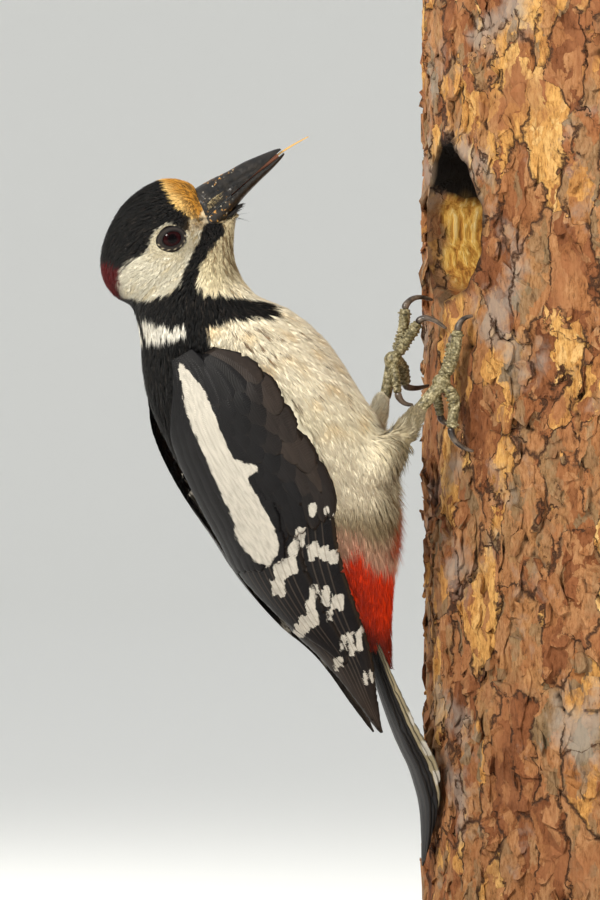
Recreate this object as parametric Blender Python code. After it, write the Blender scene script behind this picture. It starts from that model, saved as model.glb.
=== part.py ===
"""Great spotted woodpecker, an adult male, clinging to a cut length of pine trunk on a display stand.

A still model at life size. Lengths below are millimetres, turned to metres as each mesh is made.
+Z is up, the bird faces +X, and its right side is -Y. The origin is the middle of the base's
underside. The body is shaped in its own plane of symmetry first. Then pose() turns the head a
little to the bird's right and carries the tail a little to its left.
"""

import math

import bmesh
import bpy
from mathutils import Vector

MM = 0.001
GAP = 0.3  # between pieces that touch

# The display stand and the perch.
BASE_LENGTH, BASE_WIDTH, BASE_HEIGHT, BASE_CORNER = 290.0, 190.0, 12.0, 14.0
ROD_RADIUS, ROD_SPACING = 6.0, 70.0
LOG_X, LOG_RADIUS = 56.0, 85.0
LOG_FOOT, LOG_TOP = 32.0, 314.0
LOG_SIDES, LOG_RINGS = 40, 10
HOLE_Y, HOLE_Z = -1.5, 242.0
HOLE_HALF_WIDTH, HOLE_HALF_HEIGHT, HOLE_PINCH, HOLE_SIDES = 23.0, 24.5, 0.35, 20
# The nest hole's bore: how deep below the bark, and its size there as a part of its mouth's.
HOLE_BORE = ((-14.0, 1.12), (0.0, 1.04), (5.0, 0.96), (14.0, 0.94), (28.0, 0.9), (40.0, 0.72), (46.0, 0.35))

# The pose.
HEAD_TURN = math.radians(-12.0)
NECK_X = -112.0
TURN_FROM, TURN_TO = 196.0, 224.0
TAIL_SWAY, SWAY_FROM, SWAY_LENGTH, SWAY_POWER = 8.0, 185.0, 140.0, 1.3

# The head's own frame: its origin is the middle of the bill's base, its x runs along the bill.
BILL_BASE_X, BILL_BASE_Z = -103.5, 245.9
BILL_SLOPE = math.radians(38.3)
EYE_ALONG, EYE_UP, EYE_OUT, EYE_RADIUS = -17.3, 0.8, 10.7, 4.3

# Sections of the head: along the bill, top, bottom, half width, widest place from the bottom.
HEAD = (
    (-41.0, 2.0, -3.0, 1.6, 0.50),
    (-38.6, 7.4, -8.0, 8.6, 0.48),
    (-33.5, 12.4, -12.0, 13.4, 0.46),
    (-27.0, 16.2, -13.4, 15.2, 0.44),
    (-20.5, 18.2, -13.2, 15.2, 0.43),
    (-14.0, 18.5, -12.0, 13.7, 0.44),
    (-8.5, 16.7, -10.2, 11.0, 0.46),
    (-5.0, 14.0, -8.6, 8.8, 0.47),
    (-2.2, 10.6, -6.0, 6.0, 0.47),
    (-0.8, 7.4, -3.0, 3.0, 0.45),
)

# Sections of the bill: along, top of its upper half, that half's cutting edge, top and bottom of
# its lower half, half width at the cutting edge.
BILL = (
    (-6.0, 9.6, -0.85, -1.15, -7.0, 7.2),
    (-1.0, 8.7, -0.75, -1.05, -6.1, 6.3),
    (3.0, 7.4, -0.62, -0.96, -5.1, 5.2),
    (6.5, 6.3, -0.50, -0.85, -4.3, 4.4),
    (10.0, 5.4, -0.35, -0.70, -3.6, 3.7),
    (15.3, 4.6, -0.10, -0.50, -2.9, 2.9),
    (20.5, 3.2, 0.25, -0.70, -2.4, 2.1),
    (24.8, 1.9, 0.48, -0.75, -1.75, 1.3),
    (26.6, 1.1, 0.50, -0.72, -1.25, 0.8),
)
BILL_RIDGE = 1.35  # above 1 draws the ridge of the upper half to an edge
BILL_FACETS, BILL_SEAT = 8, 4  # facets round the outside and across the cutting edge
# The tongue: along, up, radius.
TONGUE = ((21.8, -0.1, 0.27), (26.0, -0.12, 0.29), (31.0, -0.7, 0.27), (35.6, -1.5, 0.25))

# Sections of the neck and body from the nape to the vent: back (x, z), front (x, z), half width.
BODY = (
    ((-130.0, 227.0), (-94.8, 245.4), 6.5),
    ((-130.5, 221.0), (-96.2, 238.0), 11.5),
    ((-128.1, 213.5), (-95.6, 228.2), 15.2),
    ((-126.1, 205.4), (-90.0, 220.2), 18.6),
    ((-124.4, 190.0), (-80.2, 216.0), 22.6),
    ((-117.6, 174.8), (-67.6, 206.0), 25.2),
    ((-109.6, 161.4), (-57.4, 191.8), 25.6),
    ((-98.2, 147.2), (-47.0, 174.8), 23.6),
    ((-85.1, 137.0), (-43.2, 154.2), 18.8),
    ((-71.4, 124.8), (-44.2, 135.6), 12.6),
    ((-58.2, 114.8), (-44.8, 118.6), 7.6),
    ((-49.6, 107.6), (-43.6, 105.4), 3.2),
)
BODY_WIDEST = 0.50
NECK_CUT = ((-125.0, 201.0), (-84.0, 220.6))  # a line across the body, back to front
RUMP_CUT = ((-79.0, 129.0), (-43.0, 147.0))

# Sections of a folded wing: back and front of the form that it wraps, its half width, the
# angles round it from the front where the wing begins and ends, and the wing's thickness.
WING = (
    ((-124.5, 189.5), (-79.8, 216.5), 23.6, 90.0, 116.0, 1.2),
    ((-122.2, 182.0), (-73.4, 211.6), 26.2, 82.0, 134.0, 2.8),
    ((-118.8, 173.9), (-67.0, 206.6), 28.2, 82.0, 148.0, 3.5),
    ((-111.0, 160.4), (-56.8, 192.5), 28.8, 83.0, 160.0, 3.5),
    ((-100.2, 146.0), (-46.2, 175.4), 26.6, 92.0, 171.0, 3.3),
    ((-91.8, 133.7), (-42.7, 154.4), 21.6, 98.0, 175.0, 3.0),
    ((-79.4, 120.2), (-43.9, 135.8), 16.6, 100.0, 176.0, 2.6),
    ((-67.0, 109.4), (-46.1, 118.4), 12.2, 100.0, 176.0, 2.2),
    ((-57.1, 96.2), (-47.3, 101.0), 8.4, 95.0, 176.0, 1.7),
    ((-49.6, 86.6), (-46.4, 88.2), 4.6, 92.0, 172.0, 1.1),
)

# Sections of the tail, root to tip: middle (x, z), half width, thickness.
TAIL = (
    ((-54.5, 122.0), 5.0, 2.6),
    ((-49.1, 108.5), 7.2, 2.6),
    ((-44.3, 96.5), 9.4, 2.5),
    ((-39.6, 86.0), 11.0, 2.4),
    ((-35.4, 78.2), 11.8, 2.3),
    ((-32.9, 71.6), 11.4, 2.2),
    ((-31.4, 66.2), 10.2, 2.0),
    ((-30.8, 59.9), 7.6, 1.8),
    ((-30.8, 53.3), 4.6, 1.5),
    ((-31.2, 47.2), 1.6, 1.0),
)
TAIL_ARCH, TAIL_ARCH_SPAN = 1.6, 12.0  # how far the tail's edges stand from its middle, and where

# Each leg's thigh and shank: points from the body to the foot, with their radii.
THIGH = {
    "right": (
        ((-68.0, -12.5, 166.0), 9.0),
        ((-57.5, -14.0, 169.5), 8.8),
        ((-51.0, -15.0, 174.0), 6.2),
        ((-46.8, -15.7, 179.6), 3.6),
        ((-43.2, -16.2, 184.8), 2.3),
    ),
    "left": (
        ((-66.0, 11.0, 168.0), 9.0),
        ((-56.5, 9.5, 171.0), 8.4),
        ((-50.4, 9.0, 177.0), 5.6),
        ((-47.2, 9.0, 183.4), 3.3),
        ((-45.2, 9.0, 189.0), 2.1),
    ),
}
SHANK = {
    "right": (((-48.6, -15.3, 177.0), 1.8), ((-44.6, -16.0, 183.4), 1.7), ((-37.6, -16.9, 191.6), 1.75)),
    "left": (((-48.0, 9.0, 180.5), 1.7), ((-45.2, 9.0, 186.6), 1.6), ((-43.0, 8.2, 198.2), 1.65)),
}
PALM = {"right": ((-36.4, -17.0, 193.3), 2.5), "left": ((-42.4, 8.0, 200.4), 2.4)}

# Toes: points from the palm to the claw's root. Claws: their bend, then how far across the
# trunk and how high the tip bites. The last value says if the tip reaches the bark.
TOES = {
    "right": {
        "middle": (
            ((-34.8, -17.4, 196.2), (-33.4, -17.9, 199.6), (-32.4, -18.4, 203.8), (-31.9, -18.8, 208.6)),
            (-30.9, -19.2, 213.0), (-19.5, 213.2), True,
        ),
        "inner": (
            ((-34.8, -14.3, 195.0), (-32.8, -13.1, 198.2), (-31.7, -12.6, 201.6), (-31.4, -12.4, 205.0)),
            (-30.9, -12.3, 208.4), (-12.3, 208.2), True,
        ),
        "outer": (
            ((-34.6, -18.0, 191.2), (-32.8, -18.6, 188.6), (-33.2, -19.0, 184.4), (-34.0, -19.2, 179.8)),
            (-33.4, -19.5, 174.0), (-19.8, 172.6), True,
        ),
        "hallux": (
            ((-37.0, -14.9, 191.0), (-36.6, -13.6, 188.4), (-35.6, -12.8, 185.8), (-35.0, -12.4, 183.6)),
            (-33.6, -12.1, 180.6), (-12.0, 181.0), False,
        ),
    },
    "left": {
        "middle": (
            ((-40.8, 8.9, 203.0), (-39.2, 9.1, 206.2), (-38.5, 9.3, 210.6), (-38.1, 9.5, 215.4)),
            (-35.4, 9.7, 220.8), (10.0, 218.4), True,
        ),
        "inner": (
            ((-41.4, 5.9, 202.4), (-40.0, 4.8, 205.2), (-38.2, 3.4, 208.2), (-36.9, 1.8, 211.2)),
            (-34.2, -0.2, 214.4), (-3.0, 209.6), True,
        ),
        "outer": (
            ((-40.4, 10.0, 200.2), (-38.6, 11.4, 198.8), (-37.4, 12.8, 195.8), (-36.4, 13.8, 193.2)),
            (-33.0, 14.8, 191.0), (15.5, 192.6), True,
        ),
        "hallux": (
            ((-42.8, 6.2, 198.0), (-42.7, 5.2, 195.4), (-42.6, 4.7, 192.8), (-42.4, 4.2, 190.4)),
            (-41.2, 3.6, 186.4), (2.6, 186.6), False,
        ),
    },
}
TOE_RADIUS = {"middle": (1.6, 1.45), "inner": (1.45, 1.3), "outer": (1.55, 1.4), "hallux": (1.15, 1.0)}
CLAW_ROOT, CLAW_TIP = 1.0, 0.3
CLAW_KNUCKLE = 0.8  # straight length at a claw's root
CLAW_SEAT = 0.05  # how much further than the gap a claw stands off its toe
CLAW_STEPS, CLAW_TAPER = 5, 0.8  # lengths in a claw, and the power of its taper
FREE_CLAW = 3.0  # how far past its bend the tip of a claw comes that doesn't reach the bark
# The palm that the toes spring from: steps along it (x, z) from its middle, with shares of its radius.
PALM_STEPS = ((-0.6, -0.8, 1.0), (0.6, 0.9, 0.92), (1.0, 1.9, 0.45))
WING_POINTS, WING_EDGE = 8, 0.35  # points across a wing, and its thickness at an edge
STEPS = 2  # between two sections of the body, head, bill, wings and tail
THIGH_SIDES = 12

BODY_SIDES, HEAD_SIDES, TAIL_SIDES, TUBE_SIDES, TOE_SIDES = 26, 22, 14, 10, 7
EYE_SIDES, EYE_BANDS, TONGUE_SIDES, ROD_SIDES = 12, 8, 6, 20
BASE_CORNER_STEPS, BASE_EDGE = 4, 1.5  # facets of the base's corners, and its eased top edge
SHARP = math.radians(30.0)

COLOURS = {  # name: sRGB colour, roughness
    "black plumage": ("1b1b1e", 0.7),
    "cream plumage": ("cfc19a", 0.8),
    "red plumage": ("c22c1c", 0.8),
    "horn": ("2c2a2a", 0.4),
    "flesh": ("c08a5a", 0.5),
    "eye": ("1c0608", 0.1),
    "scales": ("83876a", 0.6),
    "bark": ("8a5a3e", 0.9),
    "walnut": ("5b3a26", 0.5),
    "steel": ("9a9a9c", 0.35),
}


# Curves and places.


def smooth(low, high, value):
    """0 below low, 1 above high and an easy curve between them."""
    t = min(max((value - low) / (high - low), 0.0), 1.0)
    return t * t * (3.0 - 2.0 * t)


def pose(point):
    """Carry a point of the symmetrical bird to its place in the pose."""
    x, y, z = point
    turn = HEAD_TURN * smooth(TURN_FROM, TURN_TO, z)
    dx = x - NECK_X
    x = NECK_X + dx * math.cos(turn) - y * math.sin(turn)
    y = dx * math.sin(turn) + y * math.cos(turn)
    y += TAIL_SWAY * max(0.0, (SWAY_FROM - z) / SWAY_LENGTH) ** SWAY_POWER
    return x, y, z


def head_point(along, side, up):
    """A place in the head's own frame, before the pose."""
    x = BILL_BASE_X + along * math.cos(BILL_SLOPE) - up * math.sin(BILL_SLOPE)
    z = BILL_BASE_Z + along * math.sin(BILL_SLOPE) + up * math.cos(BILL_SLOPE)
    return x, side, z


def flat(row):
    """Open nested tuples into one list of numbers."""
    values = []
    for value in row:
        values.extend(flat(value) if isinstance(value, tuple) else [value])
    return values


def curve(rows, steps):
    """Rows on a smooth curve through the given rows, with steps between each pair."""
    rows = [flat(row) for row in rows]
    out = []
    for k in range(len(rows) - 1):
        a, b = rows[max(k - 1, 0)], rows[k]
        c, d = rows[k + 1], rows[min(k + 2, len(rows) - 1)]
        for i in range(steps):
            t = i / steps
            out.append([
                q + 0.5 * t * (r - p + t * (2 * p - 5 * q + 4 * r - s + t * (3 * (q - r) + s - p)))
                for p, q, r, s in zip(a, b, c, d)
            ])
    out.append(rows[-1])
    return out


def bark_radius(angle, height):
    """The trunk's slow swellings, as a radius at an angle round its axis."""
    swell = 0.8 * math.sin(3.0 * angle + height / 47.0) + 0.5 * math.sin(5.0 * angle - height / 31.0)
    return LOG_RADIUS + swell * (1.0 - math.exp(-((math.cos(angle) + 1.0) / 0.08) ** 2))


def bark_x(across, height):
    """Where the trunk's surface that faces the bird stands, at a place across it."""
    angle = math.pi - math.asin(across / LOG_RADIUS)
    return LOG_X - math.sqrt(bark_radius(angle, height) ** 2 - across ** 2)


# Meshes and objects.


def material(name):
    made = bpy.data.materials.get(name)
    if made:
        return made
    colour, roughness = COLOURS[name]
    parts = [int(colour[i:i + 2], 16) / 255.0 for i in (0, 2, 4)]
    linear = [((c + 0.055) / 1.055) ** 2.4 if c > 0.04045 else c / 12.92 for c in parts]
    made = bpy.data.materials.new(name)
    made.use_nodes = True
    shader = made.node_tree.nodes["Principled BSDF"]
    shader.inputs["Base Color"].default_value = (*linear, 1.0)
    shader.inputs["Roughness"].default_value = roughness
    shader.inputs["Metallic"].default_value = 1.0 if name == "steel" else 0.0
    return made


def add_object(name, verts, faces, colour, hidden=False):
    """A new closed object from millimetre points, its faces turned outwards."""
    mesh = bpy.data.meshes.new(name)
    mesh.from_pydata([tuple(c * MM for c in v) for v in verts], [], faces)
    made = bmesh.new()
    made.from_mesh(mesh)
    bmesh.ops.recalc_face_normals(made, faces=made.faces)
    made.to_mesh(mesh)
    made.free()
    mesh.shade_smooth()
    obj = bpy.data.objects.new(name, mesh)
    bpy.context.scene.collection.objects.link(obj)
    mesh.materials.append(material(colour))
    if hidden:
        obj.hide_render = True
        obj.display_type = "WIRE"
    return obj


def skin_rings(rings):
    """Faces over rings of equal length, with a fan from a middle point on each end."""
    count = len(rings[0])
    verts = [p for ring in rings for p in ring]
    faces = []
    for k in range(len(rings) - 1):
        for i in range(count):
            j = (i + 1) % count
            faces.append((k * count + i, k * count + j, (k + 1) * count + j, (k + 1) * count + i))
    for first in (0, (len(rings) - 1) * count):
        middle = [sum(verts[first + i][a] for i in range(count)) / count for a in range(3)]
        verts.append(tuple(middle))
        for i in range(count):
            faces.append((first + i, first + (i + 1) % count, len(verts) - 1))
    return verts, faces


def oval(front, back, half_width, widest, sides, grow=0.0):
    """A closed section across the bird: an egg whose long line runs from front to back."""
    (fx, fz), (bx, bz) = front, back
    length = math.hypot(bx - fx, bz - fz)
    ux, uz = (bx - fx) / length, (bz - fz) / length
    power = math.log(widest) / math.log(0.5)
    ring = []
    for i in range(sides):
        angle = 2.0 * math.pi * i / sides
        along = (0.5 * (1.0 - math.cos(angle))) ** power
        reach = along * (length + 2.0 * grow) - grow
        side = math.sin(angle) * (half_width + grow)
        ring.append((fx + ux * reach, side, fz + uz * reach))
    return ring


def tube(rows, sides=TUBE_SIDES, grow=0.0, steps=3, up=(0.0, 1.0, 0.0)):
    """A round tube through points with radii, its ends closed with a shallow dome."""
    rows = curve(rows, steps)
    points = [Vector(row[:3]) for row in rows]
    rings = []
    for k, row in enumerate(rows):
        ahead = points[min(k + 1, len(points) - 1)] - points[max(k - 1, 0)]
        across = ahead.cross(Vector(up)).normalized()
        over = ahead.cross(across).normalized()
        radius = row[3] + grow
        ring = []
        for i in range(sides):
            angle = 2.0 * math.pi * i / sides
            ring.append(points[k] + radius * (math.cos(angle) * across + math.sin(angle) * over))
        rings.append(ring)
    if grow:
        rings.insert(0, [p - (points[1] - points[0]).normalized() * grow for p in rings[0]])
        rings.append([p + (points[-1] - points[-2]).normalized() * grow for p in rings[-1]])
    return skin_rings([[tuple(p) for p in ring] for ring in rings])


def cut(obj, cutter):
    """Take the cutter's shape out of an object and drop the cutter."""
    step = obj.modifiers.new("cut", "BOOLEAN")
    step.operation = "DIFFERENCE"
    step.solver = "EXACT"
    step.object = cutter
    bpy.context.view_layer.update()
    done = bpy.data.meshes.new_from_object(obj.evaluated_get(bpy.context.evaluated_depsgraph_get()))
    obj.modifiers.remove(step)
    obj.data = done
    done.name = obj.name


def drop(*objects):
    for obj in objects:
        bpy.data.objects.remove(obj, do_unlink=True)


def keep_between(obj, above=None, below=None):
    """Cut an object flat along lines across the bird and keep what lies between them."""
    made = bmesh.new()
    made.from_mesh(obj.data)
    for line, sign in ((above, 1.0), (below, -1.0)):
        if line is None:
            continue
        (bx, bz), (fx, fz) = line
        normal = Vector((-(fz - bz), 0.0, fx - bx)).normalized() * sign
        place = Vector((bx, 0.0, bz)) * MM + normal * 0.5 * GAP * MM
        geometry = made.verts[:] + made.edges[:] + made.faces[:]
        done = bmesh.ops.bisect_plane(
            made, geom=geometry, plane_co=place, plane_no=normal, clear_inner=True, dist=1e-8
        )
        rim = [e for e in done["geom_cut"] if isinstance(e, bmesh.types.BMEdge)]
        bmesh.ops.contextual_create(made, geom=rim)
    bmesh.ops.recalc_face_normals(made, faces=made.faces)
    made.to_mesh(obj.data)
    made.free()


def posed(verts):
    return [pose(v) for v in verts]


# The bird's pieces.


def body_shape(name, grow=0.0, hidden=True):
    rings = []
    for bx, bz, fx, fz, half in curve(BODY, STEPS):
        rings.append(oval((fx, fz), (bx, bz), half, BODY_WIDEST, BODY_SIDES, grow))
    verts, faces = skin_rings(rings)
    return add_object(name, verts, faces, "cream plumage", hidden)


def pose_object(obj):
    for vertex in obj.data.vertices:
        place = pose([c / MM for c in vertex.co])
        vertex.co = [c * MM for c in place]


def head_shape(name, grow=0.0, hidden=True):
    rings = []
    for along, top, bottom, half, widest in curve(HEAD, STEPS):
        push = {HEAD[0][0]: -grow, HEAD[-1][0]: grow}.get(along, 0.0)
        front = head_point(along + push, 0.0, bottom)
        back = head_point(along + push, 0.0, top)
        rings.append(oval(
            (front[0], front[2]), (back[0], back[2]), half, widest, HEAD_SIDES, grow
        ))
    verts, faces = skin_rings(rings)
    return add_object(name, verts, faces, "black plumage", hidden)


def eye_ball(name, sign, grow=0.0, hidden=False):
    """A ball with its poles along the line of sight."""
    cx, cy, cz = pose(head_point(EYE_ALONG, sign * EYE_OUT, EYE_UP))
    radius = EYE_RADIUS + grow
    turn = HEAD_TURN
    rings = []
    for k in range(1, EYE_BANDS):
        lift = math.pi * k / EYE_BANDS
        ring = []
        for i in range(EYE_SIDES):
            angle = 2.0 * math.pi * i / EYE_SIDES
            x, z = (radius * math.sin(lift) * f(angle) for f in (math.cos, math.sin))
            y = sign * radius * math.cos(lift)
            ring.append((
                cx + x * math.cos(turn) - y * math.sin(turn),
                cy + x * math.sin(turn) + y * math.cos(turn),
                cz + z,
            ))
        rings.append(ring)
    verts, faces = skin_rings(rings)
    for index, k in ((len(verts) - 2, 1.0), (len(verts) - 1, -1.0)):
        y = sign * radius * k
        verts[index] = (cx - y * math.sin(turn), cy + y * math.cos(turn), cz)
    return add_object(name, verts, faces, "eye", hidden)


def mandible(name, upper):
    rings = []
    for along, top, edge_upper, edge_lower, bottom, half in curve(BILL, STEPS):
        edge = edge_upper if upper else edge_lower
        far = top if upper else bottom
        ring = []
        for i in range(BILL_FACETS + 1):
            angle = math.pi * i / BILL_FACETS
            side = half * math.cos(angle)
            ring.append(head_point(along, side, edge + (far - edge) * math.sin(angle) ** BILL_RIDGE))
        for i in range(1, BILL_SEAT):
            ring.append(head_point(along, half * (2.0 * i / BILL_SEAT - 1.0), edge))
        rings.append(ring)
    verts, faces = skin_rings(rings)
    return add_object(name, posed(verts), faces, "horn")


def tongue():
    rows = [(head_point(along, 0.0, up), radius) for along, up, radius in TONGUE]
    verts, faces = tube(rows, sides=TONGUE_SIDES, steps=STEPS)
    return add_object("tongue", posed(verts), faces, "flesh")


def wing(name, sign):
    """A folded wing: a band that wraps one side of the body, thin at its edges."""
    rings = []
    for bx, bz, fx, fz, half, first, last, thick in curve(WING, STEPS):
        length = math.hypot(bx - fx, bz - fz)
        ux, uz = (bx - fx) / length, (bz - fz) / length
        outer, inner = [], []
        for i in range(WING_POINTS):
            part = i / (WING_POINTS - 1)
            angle = math.radians(first + (last - first) * part)
            depth = thick * math.sqrt(max(math.sin(math.pi * part), 0.0)) + WING_EDGE
            reach = 0.5 * length * (1.0 - math.cos(angle))
            side = half * math.sin(angle)
            outer.append((fx + ux * reach, sign * side, fz + uz * reach))
            inward_reach = reach + depth * math.cos(angle)
            inward_side = max(side - depth * math.sin(angle), 0.0) + (GAP if part == 1.0 else 0.0)
            inner.append((fx + ux * inward_reach, sign * max(inward_side, GAP), fz + uz * inward_reach))
        rings.append(outer + inner[::-1])
    verts, faces = skin_rings(rings)
    return add_object(name, posed(verts), faces, "black plumage")


def tail():
    rings = []
    rows = curve(TAIL, STEPS)
    for k, (x, z, half, thick) in enumerate(rows):
        ahead = rows[min(k + 1, len(rows) - 1)]
        behind = rows[max(k - 1, 0)]
        dx, dz = ahead[0] - behind[0], ahead[1] - behind[1]
        length = math.hypot(dx, dz)
        nx, nz = -dz / length, dx / length  # towards the trunk
        ring = []
        for i in range(TAIL_SIDES):
            angle = 2.0 * math.pi * i / TAIL_SIDES
            side = half * math.cos(angle)
            rise = 0.5 * thick * math.sin(angle)
            rise += TAIL_ARCH * (side / TAIL_ARCH_SPAN) ** 2
            ring.append((x + nx * rise, side, z + nz * rise))
        rings.append(ring)
    verts, faces = skin_rings(rings)
    return add_object("tail", posed(verts), faces, "black plumage")


def palm_shape(name, side, grow=0.0, hidden=True):
    """The shank and the palm that its toes spring from, as one closed form."""
    (px, py, pz), radius = PALM[side]
    rows = list(SHANK[side])
    for x, z, share in PALM_STEPS:
        rows.append(((px + x, py, pz + z), radius * share))
    verts, faces = tube(rows, grow=grow, steps=STEPS)
    return add_object(name, verts, faces, "scales", hidden)


def toe_and_claw(side, toe):
    points, bend, (bite_y, bite_z), touches = TOES[side][toe]
    root, tip = TOE_RADIUS[toe]
    count = len(points)
    rows = [(p, root + (tip - root) * k / (count - 1)) for k, p in enumerate(points)]
    end = Vector(points[-1])
    ahead = (end - Vector(points[-2])).normalized()
    verts, faces = tube(rows, sides=TOE_SIDES, steps=STEPS)
    toe_object = add_object(f"toe_{side}_{toe}", verts, faces, "scales")
    start = end + ahead * (GAP + CLAW_SEAT)
    knuckle = start + ahead * CLAW_KNUCKLE
    if touches:
        goal = Vector((bark_x(bite_y, bite_z) - CLAW_TIP - GAP, bite_y, bite_z))
    else:
        goal = Vector((bend[0] + FREE_CLAW, bite_y, bite_z))
    bend = Vector(bend)
    rows = [(tuple(start), CLAW_ROOT)]
    for k in range(CLAW_STEPS + 1):
        t = k / CLAW_STEPS
        place = knuckle * (1 - t) ** 2 + bend * 2 * t * (1 - t) + goal * t * t
        rows.append((tuple(place), CLAW_ROOT + (CLAW_TIP - CLAW_ROOT) * t ** CLAW_TAPER))
    verts, faces = tube(rows, sides=TOE_SIDES, steps=1)
    add_object(f"claw_{side}_{toe}", verts, faces, "horn")
    return toe_object


# The perch and its stand.


def perch_log():
    rings = []
    for k in range(LOG_RINGS + 1):
        height = LOG_FOOT + (LOG_TOP - LOG_FOOT) * k / LOG_RINGS
        ring = []
        for i in range(LOG_SIDES):
            angle = 2.0 * math.pi * i / LOG_SIDES
            radius = bark_radius(angle, height)
            ring.append((LOG_X + radius * math.cos(angle), radius * math.sin(angle), height))
        rings.append(ring)
    verts, faces = skin_rings(rings)
    log = add_object("perch_log", verts, faces, "bark")
    rings = []
    for reach, scale in HOLE_BORE:
        ring = []
        for i in range(HOLE_SIDES):
            angle = 2.0 * math.pi * i / HOLE_SIDES
            pinch = 1.0 - HOLE_PINCH * max(math.sin(angle), 0.0)
            ring.append((
                LOG_X - LOG_RADIUS + reach,
                HOLE_Y + HOLE_HALF_WIDTH * scale * pinch * math.cos(angle),
                HOLE_Z + HOLE_HALF_HEIGHT * scale * math.sin(angle),
            ))
        rings.append(ring)
    verts, faces = skin_rings(rings)
    hole = add_object("hole_cutter", verts, faces, "bark", hidden=True)
    cut(log, hole)
    drop(hole)
    return log


def stand():
    """A flat base with rounded corners and two short rods under the log."""
    ring = []
    for cx, cy, first in ((1, 1, 0), (-1, 1, 90), (-1, -1, 180), (1, -1, 270)):
        for i in range(BASE_CORNER_STEPS + 1):
            angle = math.radians(first + 90.0 * i / BASE_CORNER_STEPS)
            x = cx * (0.5 * BASE_LENGTH - BASE_CORNER) + BASE_CORNER * math.cos(angle)
            y = cy * (0.5 * BASE_WIDTH - BASE_CORNER) + BASE_CORNER * math.sin(angle)
            ring.append((x, y))
    rings = [[(x, y, 0.0) for x, y in ring], [(x, y, BASE_HEIGHT - BASE_EDGE) for x, y in ring]]
    top_x, top_y = 1.0 - 2.0 * BASE_EDGE / BASE_LENGTH, 1.0 - 2.0 * BASE_EDGE / BASE_WIDTH
    rings.append([(x * top_x, y * top_y, BASE_HEIGHT) for x, y in ring])
    verts, faces = skin_rings(rings)
    base = add_object("stand_base", verts, faces, "walnut")
    base.data.set_sharp_from_angle(angle=SHARP)
    for name, sign in (("stand_rod_front", -1.0), ("stand_rod_rear", 1.0)):
        x = LOG_X + sign * 0.5 * ROD_SPACING
        rings = []
        for z in (BASE_HEIGHT + GAP, LOG_FOOT - GAP):
            ring = []
            for i in range(ROD_SIDES):
                angle = 2.0 * math.pi * i / ROD_SIDES
                ring.append((x + ROD_RADIUS * math.cos(angle), ROD_RADIUS * math.sin(angle), z))
            rings.append(ring)
        verts, faces = skin_rings(rings)
        rod = add_object(name, verts, faces, "steel")
        rod.data.set_sharp_from_angle(angle=SHARP)


def main():
    for obj in list(bpy.data.objects):
        bpy.data.objects.remove(obj, do_unlink=True)

    # The head, with its sockets, and the space that it takes from the neck and the bill.
    head = head_shape("head", hidden=False)
    pose_object(head)
    head_space = head_shape("head_space", grow=GAP)
    pose_object(head_space)
    body_space = body_shape("body_space", grow=GAP)
    pose_object(body_space)
    for name, sign in (("eye_right", -1.0), ("eye_left", 1.0)):
        eye_ball(name, sign)
        socket = eye_ball("socket", sign, grow=GAP, hidden=True)
        cut(head, socket)
        drop(socket)
    for name, upper in (("bill_upper", True), ("bill_lower", False)):
        half = mandible(name, upper)
        cut(half, head_space)
        cut(half, body_space)
    tongue()

    # The neck, trunk and rump are lengths of one form, parted along two flat cuts.
    for name, above, below in (
        ("neck", NECK_CUT, None), ("trunk", RUMP_CUT, NECK_CUT), ("rump", None, RUMP_CUT)
    ):
        length = body_shape(name, hidden=False)
        pose_object(length)
        keep_between(length, above, below)
        if name == "neck":
            cut(length, head_space)

    # What lies over the body is cut back to it.
    for name, sign in (("wing_right", -1.0), ("wing_left", 1.0)):
        cut(wing(name, sign), body_space)
    cut(tail(), body_space)
    for side in ("right", "left"):
        verts, faces = tube(THIGH[side], sides=THIGH_SIDES)
        thigh = add_object(f"thigh_{side}", verts, faces, "cream plumage")
        cut(thigh, body_space)
        verts, faces = tube(THIGH[side], sides=THIGH_SIDES, grow=GAP)
        thigh_space = add_object("thigh_space", verts, faces, "cream plumage", hidden=True)
        shank = palm_shape(f"shank_{side}", side, hidden=False)
        cut(shank, thigh_space)
        palm_space = palm_shape("palm_space", side, grow=GAP)
        for toe in TOES[side]:
            cut(toe_and_claw(side, toe), palm_space)
        drop(thigh_space, palm_space)
    drop(body_space, head_space)

    perch_log()
    stand()


main()
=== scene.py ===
"""Great spotted woodpecker on its trunk: the finish of every surface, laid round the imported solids.

Small shapes are worked out in millimetres in the bird's own symmetrical frame, which posed()
then carries to the pose: the head turned a little to its right, the tail a little to its left.
"""

import math
from functools import partial

import bmesh
import bpy
import numpy as np
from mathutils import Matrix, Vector
from mathutils.bvhtree import BVHTree


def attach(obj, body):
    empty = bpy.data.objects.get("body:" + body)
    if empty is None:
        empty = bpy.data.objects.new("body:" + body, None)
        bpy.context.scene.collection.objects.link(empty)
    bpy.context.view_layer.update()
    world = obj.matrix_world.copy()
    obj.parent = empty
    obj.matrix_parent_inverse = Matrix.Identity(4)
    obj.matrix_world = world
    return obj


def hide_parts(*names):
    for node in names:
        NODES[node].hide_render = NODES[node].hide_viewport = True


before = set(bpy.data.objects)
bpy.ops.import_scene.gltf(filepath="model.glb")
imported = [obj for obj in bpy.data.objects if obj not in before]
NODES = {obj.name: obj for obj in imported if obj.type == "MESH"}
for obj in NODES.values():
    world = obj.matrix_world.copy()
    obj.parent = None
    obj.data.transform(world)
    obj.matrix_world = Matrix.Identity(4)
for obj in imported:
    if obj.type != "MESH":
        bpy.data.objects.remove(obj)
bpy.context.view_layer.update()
MM = 0.001
SEED = 7

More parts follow.
